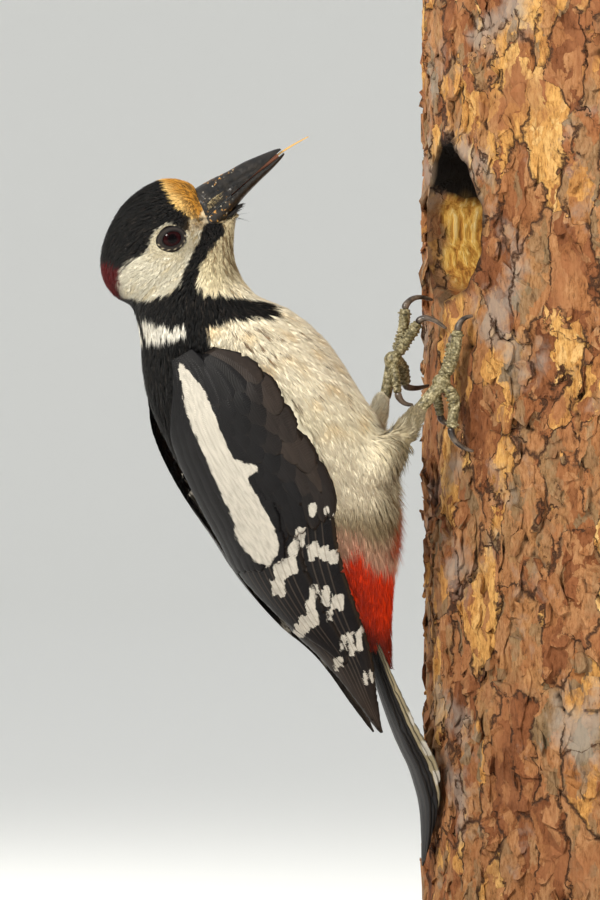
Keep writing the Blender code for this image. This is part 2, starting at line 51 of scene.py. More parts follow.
# The pose, and the head's own frame: x along the bill from the middle of its base, z its crown.
HEAD_TURN, NECK_X, TURN_FROM, TURN_TO = math.radians(-12.0), -112.0, 196.0, 224.0
TAIL_SWAY, SWAY_FROM, SWAY_LENGTH, SWAY_POWER = 8.0, 185.0, 140.0, 1.3
BILL_BASE, BILL_SLOPE = (-103.5, 245.9), math.radians(38.3)
EYE_ALONG, EYE_UP, EYE_OUT, EYE_RADIUS = -17.3, 0.8, 10.7, 4.3

# A folded wing's own frame: s runs from its bend to its tip, t from its back to its front.
WING_START, WING_LINE = (-108, 205), (0.453, -0.891)

LOG_X, LOG_RADIUS = 56.0, 85.0


# Frames.


def unit(v):
    v = np.asarray(v, float)
    return v / np.maximum(np.linalg.norm(v, axis=-1, keepdims=True), 1e-9)


def ease(low, high, value):
    t = np.clip((value - low) / (high - low), 0.0, 1.0)
    return t * t * (3.0 - 2.0 * t)


def turned(points, sign):
    """Points with the head's turn put on (sign 1) or taken off (sign -1)."""
    out = points.copy()
    angle = sign * HEAD_TURN * ease(TURN_FROM, TURN_TO, points[:, 2])
    dx, y = points[:, 0] - NECK_X, points[:, 1]
    out[:, 0] = NECK_X + dx * np.cos(angle) - y * np.sin(angle)
    out[:, 1] = dx * np.sin(angle) + y * np.cos(angle)
    return out


def sway(z):
    return TAIL_SWAY * np.maximum(0.0, (SWAY_FROM - z) / SWAY_LENGTH) ** SWAY_POWER


def posed(points):
    out = turned(np.asarray(points, float), 1.0)
    out[:, 1] += sway(out[:, 2])
    return out


def unposed(points):
    out = np.asarray(points, float).copy()
    out[:, 1] -= sway(out[:, 2])
    return turned(out, -1.0)


def head_frame(points):
    """(along the bill, side, up) of points in the bird's frame."""
    dx, dz = points[:, 0] - BILL_BASE[0], points[:, 2] - BILL_BASE[1]
    c, s = math.cos(BILL_SLOPE), math.sin(BILL_SLOPE)
    return np.stack([dx * c + dz * s, points[:, 1], -dx * s + dz * c], axis=1)


def from_head(points):
    """Points given as (along the bill, side, up), in the bird's frame."""
    points = np.asarray(points, float)
    c, s = math.cos(BILL_SLOPE), math.sin(BILL_SLOPE)
    x = BILL_BASE[0] + points[:, 0] * c - points[:, 2] * s
    z = BILL_BASE[1] + points[:, 0] * s + points[:, 2] * c
    return np.stack([x, points[:, 1], z], axis=1)


def wing_frame(points):
    dx, dz = points[:, 0] - WING_START[0], points[:, 2] - WING_START[1]
    return np.stack([dx * WING_LINE[0] + dz * WING_LINE[1], -dx * WING_LINE[1] + dz * WING_LINE[0]], axis=1)


def inside(points, outline):
    """How far points lie inside a closed outline: positive inside, negative outside."""
    outline = np.asarray(outline, float)
    x, y = points[:, 0], points[:, 1]
    within = np.zeros(len(points), bool)
    nearest = np.full(len(points), 1e9)
    for (ax, ay), (bx, by) in zip(outline, np.roll(outline, -1, axis=0)):
        crosses = (ay > y) != (by > y)
        cut = ax + (y - ay) * (bx - ax) / np.where(abs(by - ay) < 1e-9, 1e-9, by - ay)
        within ^= crosses & (x < cut)
        ex, ey = bx - ax, by - ay
        t = np.clip(((x - ax) * ex + (y - ay) * ey) / (ex * ex + ey * ey), 0.0, 1.0)
        nearest = np.minimum(nearest, np.hypot(x - ax - t * ex, y - ay - t * ey))
    return np.where(within, nearest, -nearest)


# Colours.


def linear(code):
    """An sRGB hex colour as a linear one."""
    parts = np.array([int(code[i:i + 2], 16) / 255.0 for i in (0, 2, 4)])
    return np.where(parts > 0.04045, ((parts + 0.055) / 1.055) ** 2.4, parts / 12.92)


def rgb(code):
    return (*linear(code), 1.0)


BLACK, OCHRE, PALE_OCHRE = linear("09090a"), linear("bf8732"), linear("e8c27a")
CREAM, CHEEK, BREAST, THROAT = linear("f5e9c8"), linear("dfd8c4"), linear("fbf0d6"), linear("e6d9b2")
CRIMSON, SCARLET, PINK, RUST = linear("5e0609"), linear("f23c02"), linear("f0b89c"), linear("7a2410")

# Markings on the head and neck, as outlines in the head's frame (along, up).
FOREHEAD = (
    (4.5, 9), (2.6, 8), (0.9, 5.8), (-1.9, 2.2), (-4.2, 0.8), (-7.2, 0.3), (-8.6, 1.6), (-9.6, 4.3),
    (-10.2, 6.2), (-10.1, 9), (-9, 12.6), (-7.6, 14.8), (-6.4, 19), (4, 15),
)
CHEEK_PATCH = (
    (-7.6, -2.4), (-10.6, -4.4), (-13.3, -5.9), (-16.2, -7.3), (-19.5, -9.4), (-22.8, -11.4), (-27, -11.9),
    (-31.2, -10.8), (-35.2, -8.4), (-38.6, -5.6), (-39.8, -2.2), (-38.4, 0.9), (-35.6, 2.9), (-31, 3.4),
    (-27.4, 2.6), (-25, 2.4), (-23.6, 3.6), (-22, 5), (-19.6, 5.7), (-17.2, 5.7), (-15.6, 5.2),
    (-14.5, 4.2), (-13.8, 2.2), (-13.2, 0.4), (-12.6, -0.9), (-11.2, -0.4), (-9.6, 0.4), (-8.6, -0.9)
)
NAPE_PATCH = (
    (-38.6, 10.8), (-37.2, 8.6), (-35.4, 5.2), (-34.6, 3.6), (-36.2, 2.2), (-38.8, 0), (-40.8, -2.2),
    (-46, -2), (-46, 12),
)
MOUSTACHE = (
    (-1, -4.6), (-3.4, -2.6), (-6.4, -2.3), (-9.2, -3.6), (-12.4, -5.2), (-15.8, -6.9), (-19.7, -8.9),
    (-22.8, -11.1), (-25, -14), (-21.3, -16.2), (-18.4, -13.2), (-14.2, -10.9), (-10.2, -9.4),
    (-6.4, -8.9), (-2.6, -8),
)
COLLAR = (
    (-45, -1), (-39.2, -2.4), (-35.7, -8), (-31.8, -10.4), (-26.3, -11.6), (-22.8, -11.2),
    (-21.2, -14.9), (-20.4, -18.1), (-14.3, -24), (-9.4, -30), (-6.3, -35.4), (-7.2, -37.4),
    (-9.4, -36.6), (-14.9, -32.6), (-21, -27.6), (-27.6, -25.2), (-33, -30), (-36.6, -27),
    (-31.6, -20.6), (-34.4, -19), (-37.2, -14.8), (-39.6, -10.8), (-46, -9),
)
LEG_ENDS = ((-43.2, -16.2, 184.8), (-45.2, 9, 189))  # where feathers end on the legs
# The white shoulder patch in the wing's frame (s, t).
SHOULDER_PATCH = (
    (0.6, -12.4), (9.9, -11.3), (17, -12.1), (24.1, -12.9), (31.7, -13), (34.5, -10.4), (37.4, -7.9),
    (39.2, -8.7), (38.4, -11.6), (42, -11.4), (50.5, -10.2), (57, -9.6), (62, -9.6), (65.6, -10.9),
    (67.6, -13.8), (65.6, -16.4), (62, -17.4), (55.4, -18.6), (50.6, -17.9), (42.5, -18.6), (29.7, -18.9),
    (20, -18.6), (13, -17.6), (6.1, -15.4), (1.6, -13.8),
)


def noise(points, scale, seed):
    """Smooth values from -1 to 1, as sums of waves across the points."""
    rng = np.random.default_rng(SEED * 1000 + seed)
    total = np.zeros(len(points))
    for _ in range(7):
        wave = unit(rng.normal(size=3)) * 2.0 * math.pi / scale * rng.uniform(0.6, 1.6)
        total += np.sin(points @ wave + rng.uniform(0.0, 2.0 * math.pi))
    return total / 4.0


def lay(colour, over, amount):
    """Blend a colour, or a hex code, over others by an amount from 0 to 1."""
    over = linear(over) if isinstance(over, str) else over
    return colour + (over - colour) * np.clip(amount, 0.0, 1.0)[:, None]


def plumage(points):
    """The bird's markings at points in its own frame, with some painted shade and light. Skin and feathers
    both take them from here.
    """
    x, side, z = points[:, 0], abs(points[:, 1]), points[:, 2]
    xz = points[:, [0, 2]]
    head = head_frame(points)[:, [0, 2]]
    wing = wing_frame(points)
    along, up = head[:, 0], head[:, 1]
    s, t = wing[:, 0], wing[:, 1]
    fray = 0.45 * noise(points, 2.4, 1) + 0.3 * noise(points, 6, 2)
    drawn = points * np.array([1.0, 1.0, 0.3])

    # The underside: cream, whiter on the upper breast, with buff clouds and a few brown specks.
    colour = np.tile(CREAM, (len(points), 1))
    colour = lay(colour, BREAST, 0.9 * ease(168, 196, z + 3.0 * fray))
    colour = lay(colour, "e2bf80", 0.45 * ease(0.1, 0.9, noise(points, 9, 8)) * ease(166, 182, z))
    speck = ease(0.74, 0.98, noise(points * np.array([1, 1, 0.45]), 2.6, 4)) * ease(4, 12, side)
    colour = lay(colour, "6e4c26", 0.85 * speck * ease(178, 190, z))
    colour = lay(colour, "cdbb92", 0.3 * ease(0, 0.9, noise(drawn, 5, 3)) * ease(176, 160, z))
    colour = lay(colour, "947c56", 0.8 * ease(160, 150, z))
    # Painted light: the front of the lower belly is laid near-white.
    colour = lay(colour, "fff4da", 0.7 * ease(181, 173, z) * ease(153, 160, z) * ease(-54, -62, x))
    # Painted shade under the thighs, broken up like feathers.
    under_thigh_shade = ease(-60, -50, x) * ease(182, 174, z) * (0.6 + 0.6 * ease(-0.3, 0.5, noise(drawn, 1.8, 14)))
    colour = lay(colour, "6a5436", 0.85 * under_thigh_shade)
    # Painted shade over the thighs and round the leg ends, weaker on the left side.
    painted_shade_side = 0.3 + 0.7 * ease(5, -3, points[:, 1])
    leg = ease(-57, -46, x) * ease(161, 173, z) * ease(201, 195, z) * painted_shade_side
    colour = lay(colour, "85785b", leg * (0.92 + 0.3 * noise(drawn, 2.2, 11)))
    for end in LEG_ENDS:
        near = ease(8, 2, np.linalg.norm(points - np.array(end), axis=1))
        colour = lay(colour, "8a7d60", 0.8 * near * painted_shade_side)
    # Painted shadow on the flank below the folded wing, in streaks.
    flank = ease(-3, 3, t) * ease(7, 1, t) * ease(176, 160, z) * ease(138, 146, z)
    colour = lay(colour, "8a7f70", 0.75 * flank * ease(-0.1, 0.6, noise(drawn, 2.2, 9)))
    # Chin and throat: dusty buff with brown streaks in front, whiter behind.
    throat = ease(-27, -13, along) * ease(-27, -16, up) * ease(-1, -4, up)
    colour = lay(colour, THROAT, 0.9 * throat)
    colour = lay(colour, "8a7350", 0.5 * throat * ease(-19, -7, along))
    streak = ease(-0.1, 0.5, noise(drawn, 1.5, 5) + 0.4 * noise(drawn, 5, 12))
    colour = lay(colour, "6b5230", 0.8 * throat * streak * ease(-20, -9, along))
    gape = np.exp(-(((along + 7.5) / 3.6) ** 2 + ((up + 5.0) / 2.2) ** 2))
    colour = lay(colour, "2a2118", 1.1 * gape)

    # The vent: a pale pink edge, scarlet, then rust under the tail.
    front = ease(3, 7, t + fray)
    height = z + 4.0 * noise(points, 15, 10) + 2.5 * fray + 0.25 * (t - 12.0)
    colour = lay(colour, PINK, 0.8 * front * ease(151, 142, height))
    colour = lay(colour, SCARLET, front * ease(143, 136.5, height))
    colour = lay(colour, "b82a06", 0.6 * front * ease(138, 128, height) * ease(-0.2, 0.8, fray))
    colour = lay(colour, RUST, 0.85 * front * ease(126, 116, height))
    # Red shows up the middle of the belly between the thighs.
    strip = ease(-1.4, 1.4, x + 44.4 + 0.012 * (168.0 - z) ** 2 + 1.5 * fray) * ease(172, 164, z)
    colour = lay(colour, "b8401c", 0.75 * strip * ease(140, 144, z))

    # The back: black from the nape to the tail, and the black of the whole upper head.
    back = np.where(s < 0.0, ease(0.2, -0.8, t + fray), ease(-1.2, -2.2, t + fray))
    neck_front = inside(xz, (
        (-118.0, 260.0), (-112.6, 213.2), (-109.5, 211.0), (-108.8, 202.0), (-60.0, 200.0), (-60.0, 260.0),
    ))
    back *= 1.0 - ease(-0.5, 0.5, neck_front)
    back = np.maximum(back, ease(4.6, 3.6, side) * ease(-122, -124, x) * (z > 150.0))
    colour = lay(colour, BLACK, back)
    before_eye = 2.4 * np.exp(-(((along + 12.0) / 2.0) ** 2))
    crown = ease(1.6, 2.4, up + 0.5 * fray + before_eye) * ease(-48, -46, along) * ease(-2, -4, along)
    colour = lay(colour, BLACK, crown)

    # The white patch on the side of the neck, under the collar.
    side_patch = inside(xz, (
        (-133.0, 214.0), (-128.1, 213.0), (-123.6, 211.0), (-118.7, 209.2), (-114.5, 210.8), (-112.8, 212.4),
        (-112.9, 209.4), (-115.2, 206.8), (-119.0, 205.6), (-123.4, 205.0), (-127.0, 206.2), (-133.0, 207.0),
    ))
    colour = lay(colour, "f6f1e4", ease(-0.2, 0.2, side_patch + 1.3 * fray) * ease(1, 2.6, side))

    below_ear = inside(head, COLLAR)
    colour = lay(colour, BLACK, ease(-0.25, 0.25, below_ear + 0.8 * fray))
    # The cheek: silky white, streaked with buff towards its front and its lower edge.
    cheek = inside(head, CHEEK_PATCH)
    silk = points @ np.array(
        [[0.88, 0.0, -0.47], [0.0, 1.0, 0.0], [0.47, 0.0, 0.88]]
    ) * np.array([0.14, 0.6, 1.0])
    dusty = ease(-0.2, 0.9, noise(silk, 1.3, 6))
    white = lay(np.tile(CHEEK, (len(points), 1)), "c4b184", 0.55 * dusty * ease(2, -6, up))
    white = lay(white, "a58d5c", 0.75 * ease(-15, -11, along) * dusty)
    amount = ease(-0.25, 0.3, cheek + 0.5 * fray) * ease(2, 4, side)
    colour = colour + (white - colour) * amount[:, None]
    lores = np.exp(-(((along + 7.4) / 3.4) ** 2 + ((up + 0.6) / 1.9) ** 2)) * ease(3, 5, side)
    colour = lay(colour, "8a6a34", 1.2 * lores * (0.75 + 0.5 * fray))
    colour = lay(colour, "2b2016", lores * ease(0.1, 0.5, noise(silk, 1.1, 13)))
    colour = lay(colour, BLACK, ease(-0.3, 0.3, inside(head, MOUSTACHE) + 0.5 * fray) * ease(2.5, 4, side))
    colour = lay(colour, CRIMSON, ease(-0.9, 0.5, inside(head, NAPE_PATCH) + 0.6 * fray))
    ochre = lay(np.tile(OCHRE, (len(points), 1)), PALE_OCHRE, ease(-5, -9.6, along) + 0.3 * fray)
    dusky = ease(-0.2, 0.6, noise(points, 1.5, 7)) * ease(-10.5, -4, along + 0.45 * (9.0 - up))
    ochre = lay(ochre, "4e3516", 0.8 * dusky)
    amount = ease(-0.35, 0.35, inside(head, FOREHEAD) + 0.6 * fray)
    return colour + (ochre - colour) * amount[:, None]


# How the coat lies: a place (x, z), the way its feathers point there, then their length, the
# width of one strand and the space between tufts.
LIE = (
    ((-104, 250.5), (0.62, 0.78), 2.9, 0.20, 0.48),
    ((-106.5, 254.5), (-0.10, 1.00), 2.8, 0.20, 0.50),
    ((-110.5, 255.5), (-0.92, 0.39), 2.6, 0.20, 0.52),
    ((-115, 255), (-0.97, -0.20), 3.4, 0.20, 0.60),
    ((-126, 251), (-0.86, -0.51), 4.4, 0.21, 0.66),
    ((-124, 243), (-0.88, -0.47), 4.4, 0.20, 0.64),
    ((-135, 239), (-0.46, -0.89), 4.8, 0.23, 0.70),
    ((-137, 226), (0.16, -0.98), 4.8, 0.26, 0.76),
    ((-106.5, 247), (-0.80, -0.10), 1.7, 0.19, 0.46),
    ((-109, 243), (-0.50, -0.80), 1.5, 0.18, 0.44),
    ((-113, 235), (-0.72, -0.66), 2.4, 0.18, 0.50),
    ((-120, 236), (-0.88, -0.47), 3.4, 0.18, 0.54),
    ((-129, 229), (-0.86, -0.51), 4.2, 0.20, 0.60),
    ((-117, 226), (-0.62, -0.78), 3.8, 0.22, 0.64),
    ((-126, 219), (-0.50, -0.86), 4.2, 0.26, 0.72),
    ((-103, 239), (-0.40, -0.92), 2, 0.19, 0.50),
    ((-98, 238), (0.00, -1), 2.6, 0.20, 0.56),
    ((-96, 229), (0.22, -0.97), 4.2, 0.24, 0.70),
    ((-108, 218), (-0.05, -1), 4.6, 0.26, 0.74),
    ((-128, 208), (0.20, -0.98), 5.4, 0.34, 0.95),
    ((-122, 184), (0.36, -0.93), 6.4, 0.40, 1.05),
    ((-108, 160), (0.54, -0.84), 7, 0.45, 1.15),
    ((-86, 136), (0.62, -0.78), 7, 0.45, 1.15),
    ((-66, 120), (0.55, -0.83), 7, 0.40, 1.05),
    ((-90, 214), (0.60, -0.80), 5.6, 0.26, 0.84),
    ((-72, 202), (0.68, -0.73), 6.4, 0.28, 0.92),
    ((-90, 190), (0.52, -0.85), 6.6, 0.28, 0.92),
    ((-58, 186), (0.52, -0.85), 7.4, 0.28, 0.94),
    ((-76, 168), (0.44, -0.90), 7.8, 0.28, 0.94),
    ((-52, 172), (0.30, -0.95), 7.6, 0.28, 0.92),
    ((-46, 181), (0.45, 0.89), 2.2, 0.26, 0.70),
    ((-60, 150), (0.20, -0.98), 8.2, 0.28, 0.92),
    ((-46, 150), (0.02, -1), 7.8, 0.28, 0.90),
    ((-50, 130), (0.04, -1), 7.6, 0.30, 0.92),
    ((-50, 112), (0.30, -0.95), 7.2, 0.34, 0.98),
)


def lie(points):
    """The way feathers point at places in the bird's frame, with their length, width and spacing."""
    weights = np.zeros(len(points))
    total = np.zeros((len(points), 6))
    for (gx, gz), (dx, dz), *sizes in LIE:
        w = 1.0 / ((points[:, 0] - gx) ** 2 + (points[:, 2] - gz) ** 2 + 9.0) ** 1.8
        total += w[:, None] * np.array([dx, 0.0, dz, *sizes])
        weights += w
    total /= weights[:, None]
    return unit(total[:, :3]), total[:, 3], total[:, 4], total[:, 5]


def coat_depth(length):
    """How deep the coat is where its feathers have this length."""
    return 0.3 + 0.19 * length


# The bird's middle line from its bill to its vent, round which skin and coat are unwrapped.
SPINE = (
    (-98, 250), (-112, 244), (-121, 234), (-119, 222), (-108, 208), (-98, 190),
    (-84, 170), (-68, 150), (-56, 132), (-47, 106),
)


def unwrap(points):
    """Where places on the skin come on its unwrap: round the middle line and along it."""
    spine = np.array(SPINE, float)
    steps = np.linalg.norm(np.diff(spine, axis=0), axis=1)
    start = np.concatenate([[0.0], np.cumsum(steps)])
    xz, side = points[:, [0, 2]], points[:, 1]
    best = np.full(len(points), 1e9)
    along, off = np.zeros(len(points)), np.zeros(len(points))
    for k, step in enumerate(steps):
        way = (spine[k + 1] - spine[k]) / step
        t = np.clip((xz - spine[k]) @ way, 0.0, step)
        gap = xz - spine[k] - t[:, None] * way
        far = np.linalg.norm(gap, axis=1)
        near = far < best
        best = np.where(near, far, best)
        along = np.where(near, start[k] + t, along)
        off = np.where(near, gap[:, 0] * way[1] - gap[:, 1] * way[0], off)
    turn = np.arctan2(side, off) / (2.0 * math.pi) + 0.5
    return np.stack([0.01 + 0.97 * turn, 0.01 + 0.97 * along / start[-1]], axis=1)


# Making meshes and objects.


def new_mesh(name, points, faces, smooth=True):
    """A mesh from millimetre points and a list of equal faces, or of faces of mixed sizes."""
    mesh = bpy.data.meshes.new(name)
    points = np.asarray(points, float) * MM
    if isinstance(faces, np.ndarray):
        sides = faces.shape[1]
        mesh.vertices.add(len(points))
        mesh.vertices.foreach_set("co", points.astype(np.float32).ravel())
        mesh.loops.add(faces.size)
        mesh.loops.foreach_set("vertex_index", faces.astype(np.int32).ravel())
        mesh.polygons.add(len(faces))
        mesh.polygons.foreach_set("loop_start", np.arange(0, faces.size, sides, dtype=np.int32))
        mesh.update(calc_edges=True)
    else:
        mesh.from_pydata(points.tolist(), [], faces)
    mesh.polygons.foreach_set("use_smooth", np.full(len(mesh.polygons), smooth))
    return mesh


def grid_faces(index, wrap=False):
    """Quads over a grid of point numbers, closed from its last column to its first where it wraps."""
    left, right = (index, np.roll(index, -1, axis=1)) if wrap else (index[:, :-1], index[:, 1:])
    return np.stack([left[:-1], right[:-1], right[1:], left[1:]], axis=-1).reshape(-1, 4)


def full_turn(count):
    return 2.0 * math.pi * np.arange(count) / count


def new_object(name, data):
    obj = bpy.data.objects.new(name, data)
    bpy.context.scene.collection.objects.link(obj)
    return obj


def paint(mesh, colours, name="Colour"):
    layer = mesh.color_attributes.new(name, "FLOAT_COLOR", "POINT")
    values = np.ones((len(colours), 4), np.float32)
    values[:, :3] = colours
    layer.data.foreach_set("color", values.ravel())


def number(mesh, name, values):
    mesh.attributes.new(name, "FLOAT", "POINT").data.foreach_set("value", values.astype(np.float32))


def map_to(mesh, places):
    """Give a mesh its OFBake map from one place for each point."""
    corners = np.zeros(len(mesh.loops), np.int32)
    mesh.loops.foreach_get("vertex_index", corners)
    layer = mesh.uv_layers.new(name="OFBake")
    layer.data.foreach_set("uv", places[corners].astype(np.float32).ravel())


def finish_piece(name, mesh, materials, slot, *nodes):
    """The finished piece: its materials, what it rides on and the nodes that it stands for."""
    for material in materials:
        mesh.materials.append(material)
    obj = new_object(name, mesh)
    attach(obj, "root")
    if nodes:
        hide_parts(*nodes)
    return obj


def points_of(mesh):
    flat = np.zeros(len(mesh.vertices) * 3, np.float32)
    mesh.vertices.foreach_get("co", flat)
    return flat.reshape(-1, 3).astype(float) / MM


def normals_of(mesh):
    flat = np.zeros(len(mesh.vertices) * 3, np.float32)
    mesh.vertex_normals.foreach_get("vector", flat)
    return flat.reshape(-1, 3).astype(float)


def tree_of(mesh):
    corners = [tuple(p.vertices) for p in mesh.polygons]
    return BVHTree.FromPolygons([tuple(v) for v in points_of(mesh)], corners)


def evaluated(obj):
    """The mesh that an object's modifiers make. The object goes."""
    bpy.context.view_layer.update()
    made = bpy.data.meshes.new_from_object(obj.evaluated_get(bpy.context.evaluated_depsgraph_get()))
    bpy.data.objects.remove(obj, do_unlink=True)
    return made


def joined(name, meshes):
    """One smooth mesh from several. The several go."""
    whole = bmesh.new()
    for mesh in meshes:
        whole.from_mesh(mesh)
        bpy.data.meshes.remove(mesh)
    made = bpy.data.meshes.new(name)
    whole.to_mesh(made)
    whole.free()
    made.polygons.foreach_set("use_smooth", np.full(len(made.polygons), True))
    return made


def solid_copy(names, grow):
    """Copies of CAD nodes, each merged and grown, in one mesh."""
    copies = []
    for name in names:
        part = bmesh.new()
        part.from_mesh(NODES[name].data)
        bmesh.ops.remove_doubles(part, verts=part.verts, dist=1e-6)
        part.normal_update()
        for vertex in part.verts:
            vertex.co += vertex.normal * grow * MM
        copies.append(bpy.data.meshes.new("grown"))
        part.to_mesh(copies[-1])
        part.free()
    return joined("solids", copies)


def closed_round(names, grow, voxel, passes):
    """One smooth closed mesh over several CAD nodes: their gaps are bridged and their facets gone."""
    obj = new_object("solids", solid_copy(names, grow))
    step = obj.modifiers.new("close", "REMESH")
    step.mode, step.voxel_size, step.use_smooth_shade = "VOXEL", voxel * MM, True
    soften = obj.modifiers.new("soften", "SMOOTH")
    soften.factor, soften.iterations = 0.5, passes
    return evaluated(obj)


def run_nodes(tree, base, inputs):
    """The plain mesh that a Geometry Nodes tree makes from a base object with these inputs."""
    step = base.modifiers.new("shape", "NODES")
    step.node_group = tree
    for item in tree.interface.items_tree:
        if item.item_type == "SOCKET" and item.in_out == "INPUT" and item.name in inputs:
            step[item.identifier] = inputs[item.name]
    return evaluated(base)


def plug(node, socket, value):
    """Give a node's input a value, or link it from a socket or from a node's first output in use."""
    if isinstance(value, bpy.types.Node):
        value = next(out for out in value.outputs if out.enabled)
    if isinstance(value, bpy.types.NodeSocket):
        node.id_data.links.new(value, node.inputs[socket])
    else:
        node.inputs[socket].default_value = value


def add_node(tree, kind, inputs=(), stops=(), **settings):
    """Add a node with its settings, inputs and colour stops. A kind with no family is a shader node."""
    made = tree.nodes.new(kind if "Node" in kind else f"ShaderNode{kind}")
    for key, value in settings.items():
        setattr(made, key, value)
    for socket, value in dict(inputs).items():
        plug(made, socket, value)
    for k, (position, code) in enumerate(stops):
        element = made.color_ramp.elements[k] if k < 2 else made.color_ramp.elements.new(position)
        element.position, element.color = position, rgb(code)
    return made


# Materials. Each shader starts from the typical IOR and roughness of the real thing.


def shader(name, **sockets):
    """A new material, what adds nodes to its tree, and its shader.

    Words name the shader's sockets, with _ for spaces.
    """
    made = bpy.data.materials.new(name)
    made.use_nodes = True
    surface = made.node_tree.nodes["Principled BSDF"]
    for socket, value in sockets.items():
        surface.inputs[socket.replace("_", " ")].default_value = value
    return made, partial(add_node, made.node_tree), surface


# How a Mix node lays one colour over another, or darkens one by another.
OVER, DARKENED = {"data_type": "RGBA"}, {"data_type": "RGBA", "blend_type": "MULTIPLY"}


def wander(add, cloud, reach):
    """A shift that wanders with a noise texture's colours, by about this much."""
    middle = add("VectorMath", {0: cloud.outputs["Color"], 1: (0.5, 0.5, 0.5)}, operation="SUBTRACT")
    return add("VectorMath", {0: middle, "Scale": reach}, operation="SCALE")


def feather_material(name, roughness, gloss, sheen):
    """Contour feathers, keratin barbs: soft and matt where pale, with a sheen where black."""
    made, add, surface = shader(
        name, IOR=1.55, Roughness=roughness, Specular_IOR_Level=gloss, Sheen_Weight=sheen,
    )
    colour = add("Attribute", attribute_name="Colour")
    plug(surface, "Base Color", colour)
    return made


BARB_SPACING = 0.6


def vane_material():
    """Flight feathers and coverts: closed keratin vanes. Fine slanting barbs give a satin gloss.

    Real barbs stand half as far apart. They are drawn wider, so that they show.
    """
    made, add, surface = shader("keratin feather vane", IOR=1.55, Roughness=0.5, Specular_IOR_Level=0.18)
    colour = add("Attribute", attribute_name="Colour")
    white, barb, cross, rim = (
        add("Attribute", attribute_name=name).outputs["Fac"] for name in ("White", "Barb", "Cross", "Rim")
    )
    wave = add("Math", {0: barb, 1: 2.0 * math.pi / BARB_SPACING}, operation="MULTIPLY")
    comb = add("Math", {0: wave}, operation="SINE")
    place = add("TexCoord").outputs["Object"]
    split = add("TexNoise", {"Vector": place, "Scale": 700.0, "Detail": 4.0})
    ragged = add("Math", {0: comb, 1: 0.13, 2: white}, operation="MULTIPLY_ADD")
    lengthwise = add(
        "Mapping",
        {"Vector": place, "Rotation": (0.0, 1.10, 0.0), "Scale": (9.0, 1.0, 1.0)}, vector_type="TEXTURE",
    )
    streaks = add("TexNoise", {"Vector": lengthwise, "Scale": 1300.0, "Detail": 3.0})
    drawn_out = add("Math", {0: streaks, 1: 1.0, 2: ragged}, operation="MULTIPLY_ADD")
    torn = add("Math", {0: split, 1: 0.3, 2: drawn_out}, operation="MULTIPLY_ADD")
    edge = add("MapRange", {"Value": torn, "From Min": 0.60, "From Max": 0.74})
    marked = add("Mix", {0: edge, 6: colour, 7: rgb("b8b2a6")}, **OVER)
    off_shaft = add("Math", {0: cross}, operation="ABSOLUTE")
    on_shaft = add("MapRange", {"Value": off_shaft, "From Min": 0.065, "From Max": 0.03, "To Max": 0.35})
    shafted = add("Mix", {0: on_shaft, 6: marked, 7: rgb("5a4f44")}, **OVER)
    # Vanes darken towards their rims: painted shade where they overlap.
    rim_shade = add("MapRange", {"Value": rim, "From Min": 0.0, "From Max": 0.45, "To Min": 0.62})
    rim_shaded = add("Mix", {0: 1.0, 6: shafted, 7: rim_shade}, **DARKENED)
    shade = add(
        "MapRange",
        {"Value": comb, "From Min": -1.0, "From Max": 1.0, "To Min": 0.84, "To Max": 1.04},
    )
    silk = add(
        "MapRange",
        {"Value": streaks, "From Min": 0.32, "From Max": 0.62, "To Min": 0.80, "To Max": 1.08}
    )
    silky = add("Math", {0: shade, 1: silk}, operation="MULTIPLY")
    final = add("Mix", {0: 1.0, 6: rim_shaded, 7: silky}, **DARKENED)
    plug(surface, "Base Color", final)
    plug(surface, "Normal", add("Bump", {"Height": comb, "Strength": 0.3, "Distance": 0.0001}))
    return made


def horn_material(name, base, wear_and_glint, specks, roughness):
    """Bill and claws: keratin horn rubbed glossy, with long streaks. Wood dust sticks where Dirt is high,
    with pale flecks that are partly painted glints.
    """
    made, add, surface = shader(name, IOR=1.55, Roughness=roughness, Specular_IOR_Level=0.4)
    place = add("TexCoord").outputs["Object"]
    streaks = add("TexNoise", {"Vector": place, "Scale": 420.0, "Detail": 6.0})
    body = add("ValToRGB", {"Fac": streaks}, ((0.38, base), (0.66, wear_and_glint)))
    dirt_and_shade = add("Attribute", attribute_name="Dirt").outputs["Fac"]
    dust = add("TexNoise", {"Vector": place, "Scale": 900.0, "Detail": 4.0})
    loaded = add("Math", {0: dirt_and_shade, 1: 0.22, 2: dust}, operation="MULTIPLY_ADD")
    grains = add("MapRange", {"Value": loaded, "From Min": 0.70, "From Max": 0.78})
    mixed = add("Mix", {0: grains, 6: body, 7: rgb(specks)}, **OVER)
    # Pale flecks where Dirt is high: wood dust, with painted glints.
    dust_and_glint_flecks = add("TexVoronoi", {"Vector": place, "Scale": 620.0})
    near = add("MapRange", {"Value": dust_and_glint_flecks, "From Min": 0.20, "From Max": 0.14})
    some = add("Math", {0: near, 1: dirt_and_shade}, operation="MULTIPLY")
    flecked = add("Mix", {0: some, 6: mixed, 7: rgb("e8ddc4")}, **OVER)
    plug(surface, "Base Color", flecked)
    plug(surface, "Normal", add("Bump", {"Height": loaded, "Strength": 0.5, "Distance": 0.0004}))
    return made


